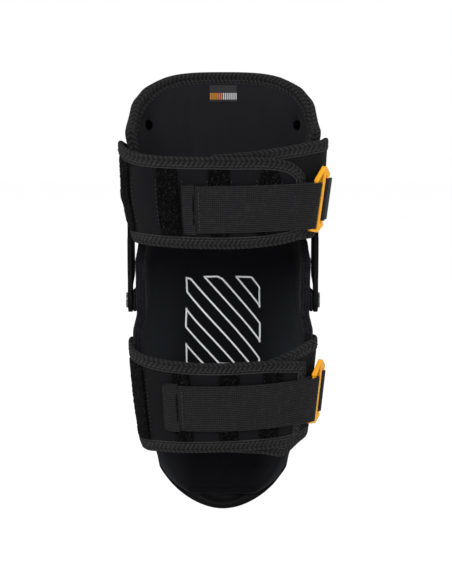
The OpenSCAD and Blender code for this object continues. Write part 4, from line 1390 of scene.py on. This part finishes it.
# ---------- tag and print ----------
tag = islands("thigh_tag")[0]
tag_range = angle_range(tag)
tag_field = Field([tag], tag_range[0] - 2, tag_range[1] + 2, tag.low[2] - 3, tag.high[2] + 3, step_a=1.0, passes=1)
tag_panel = Panel("woven_tag", tag_field, span([tag], tag_range[0] + 0.1, tag_range[1] - 0.1, 0.5), cell=1.5, edge=0.5,
                  material=TAG)
finish_piece(tag_panel.obj, "thigh_section", "tag_fabric", "thigh_tag")


def surface_of(obj):
    """A finished mesh as a solid that rays can probe."""
    points = np.array([v.co for v in obj.data.vertices]) / MM
    return Solid(points, [tuple(p.vertices) for p in obj.data.polygons])


lining = surface_of(knee_pad.obj)


def on_lining(angles, zs, lift):
    """Points over the knee lining's inner face, at angles in degrees and heights."""
    points = []
    for a, z in zip(np.radians(angles), zs):
        r = lining.radii(a, z)[0] - lift
        points.append((r * math.cos(a), r * math.sin(a), z))
    return np.array(points)


STRIPE_SECTION = ((0.0, 0.0), (0.15, 0.35), (1.85, 0.35), (2.0, 0.0))           # inset and height of an outline
stripes = []
for k, solid in enumerate(islands("grip_print")):
    a0, a1 = angle_range(solid)
    angles, lo, hi = span([solid], a0 + 0.05, a1 - 0.05, 0.4)
    outline = np.concatenate([np.stack([angles, lo], 1), np.stack([angles, hi], 1)[::-1]])
    mean_r = float(np.linalg.norm(solid.middle[:2]))
    flat = np.stack([np.radians(outline[:, 0]) * mean_r, outline[:, 1]], 1)
    flat = np.concatenate([flat, flat[:1]])
    even, _ = resample(flat, 1.0)
    even = even[:-1]
    ahead = np.roll(even, -1, 0) - np.roll(even, 1, 0)
    ahead /= np.linalg.norm(ahead, axis=1, keepdims=True) + 1e-9
    inward = np.stack([-ahead[:, 1], ahead[:, 0]], 1)
    rows = []
    for inset, lift in STRIPE_SECTION:
        place = even + inward * inset
        rows.append(on_lining(np.degrees(place[:, 0] / mean_r), place[:, 1], lift - 0.02))
    points = np.stack(rows, 1)
    faces = grid_faces(*points.shape[:2], wrap_u=True, wrap_v=True)
    stripe = make_object(f"grip_stripe_{k}", points.reshape(-1, 3), faces, None, PRINT)
    outward_faces(stripe)
    stripes.append(stripe)
for stripe in stripes:
    finish_piece(stripe, "shin_section", "silicone_print", "grip_print")


# ---------- metal and rubber hardware stays as built in CAD, with softened edges ----------
HARDWARE = {"arm_rivets": STEEL, "cap_rivets": STEEL, "hinge_pins": STEEL, "hinge_washers": WASHER,
            "thigh_buttons": BUTTON}
for node, material in HARDWARE.items():
    obj = frame["nodes"][node]
    obj.data.materials.clear()
    obj.data.materials.append(material)
    obj.modifiers.new("weld", "WELD").merge_threshold = 0.00001
    bevel = obj.modifiers.new("bevel", "BEVEL")
    bevel.width, bevel.segments, bevel.limit_method = 0.0004, 2, "ANGLE"


# ---------- stage, light and camera ----------
def stage_floor():
    """Plain pale paper under the guard, lit evenly for the camera."""
    size = 6.0
    z = cad_box[0][2] - 0.0005
    floor = make_object("floor", np.array([(-size, -size, z), (size, -size, z), (size, size, z), (-size, size, z)]) / MM,
                        [(0, 1, 2, 3)])
    paper = Look("paper_floor", roughness=0.9, specular=0.05)
    paper.colour(paper.mix(paper.noise(3), "f4f4f4", "ffffff"))
    glow = paper.node("ShaderNodeEmission", strength=1.2)
    path = paper.tree.nodes.new("ShaderNodeLightPath")
    blend = paper.tree.nodes.new("ShaderNodeMixShader")
    share = paper.math("MULTIPLY", path.outputs["Is Camera Ray"], 0.8)
    paper.tree.links.new(share, blend.inputs[0])
    paper.tree.links.new(paper.bsdf.outputs[0], blend.inputs[1])
    paper.tree.links.new(glow.outputs[0], blend.inputs[2])
    paper.tree.links.new(blend.outputs[0], paper.out.inputs["Surface"])
    floor.data.materials.append(paper.material)


def area_light(name, place, target, size, power):
    data = bpy.data.lights.new(name, "AREA")
    data.energy, data.size, data.shape = power, size, "SQUARE"
    light = bpy.data.objects.new(name, data)
    light.location = place
    light.rotation_euler = (Vector(target) - Vector(place)).to_track_quat("-Z", "Y").to_euler()
    bpy.context.scene.collection.objects.link(light)


def camera():
    """A long lens a little above the guard, looking at its open back."""
    elevation, distance, aim_z = math.radians(7.5), 1.6, 0.012
    data = bpy.data.cameras.new("camera")
    data.sensor_fit, data.sensor_width = "HORIZONTAL", 36.0
    data.lens = 121.365
    data.shift_x, data.shift_y = 0.00664, -0.00752       # shares of the picture's width
    view = bpy.data.objects.new("camera", data)
    view.location = (0, -distance * math.cos(elevation), aim_z + distance * math.sin(elevation))
    view.rotation_euler = (math.pi / 2 - elevation, 0, 0)
    bpy.context.scene.collection.objects.link(view)
    bpy.context.scene.camera = view


stage_floor()
aim = (0, 0, 0)
area_light("key", (-0.8, -1.6, 0.9), aim, 1.0, 24)
area_light("fill", (1.0, -1.5, 0.4), aim, 1.2, 14)
area_light("top", (0.0, 0.2, 1.9), aim, 1.6, 10)
area_light("rim_left", (-1.6, 0.6, 0.4), aim, 1.0, 5)
area_light("rim_right", (1.6, 0.6, 0.4), aim, 1.0, 5)
camera()


def studio_world():
    """White for the camera, dimmer as a light."""
    world = bpy.data.worlds.new("studio")
    bpy.context.scene.world = world
    world.use_nodes = True
    nodes, links = world.node_tree.nodes, world.node_tree.links
    path = nodes.new("ShaderNodeLightPath")
    level = nodes.new("ShaderNodeMapRange")
    level.inputs["To Min"].default_value, level.inputs["To Max"].default_value = WORLD_LIGHT, 1.0
    links.new(path.outputs["Is Camera Ray"], level.inputs["Value"])
    nodes["Background"].inputs["Color"].default_value = (1, 1, 1, 1)
    links.new(level.outputs["Result"], nodes["Background"].inputs["Strength"])


WORLD_LIGHT = 0.16
studio_world()
bpy.context.scene.view_settings.view_transform = "Standard"
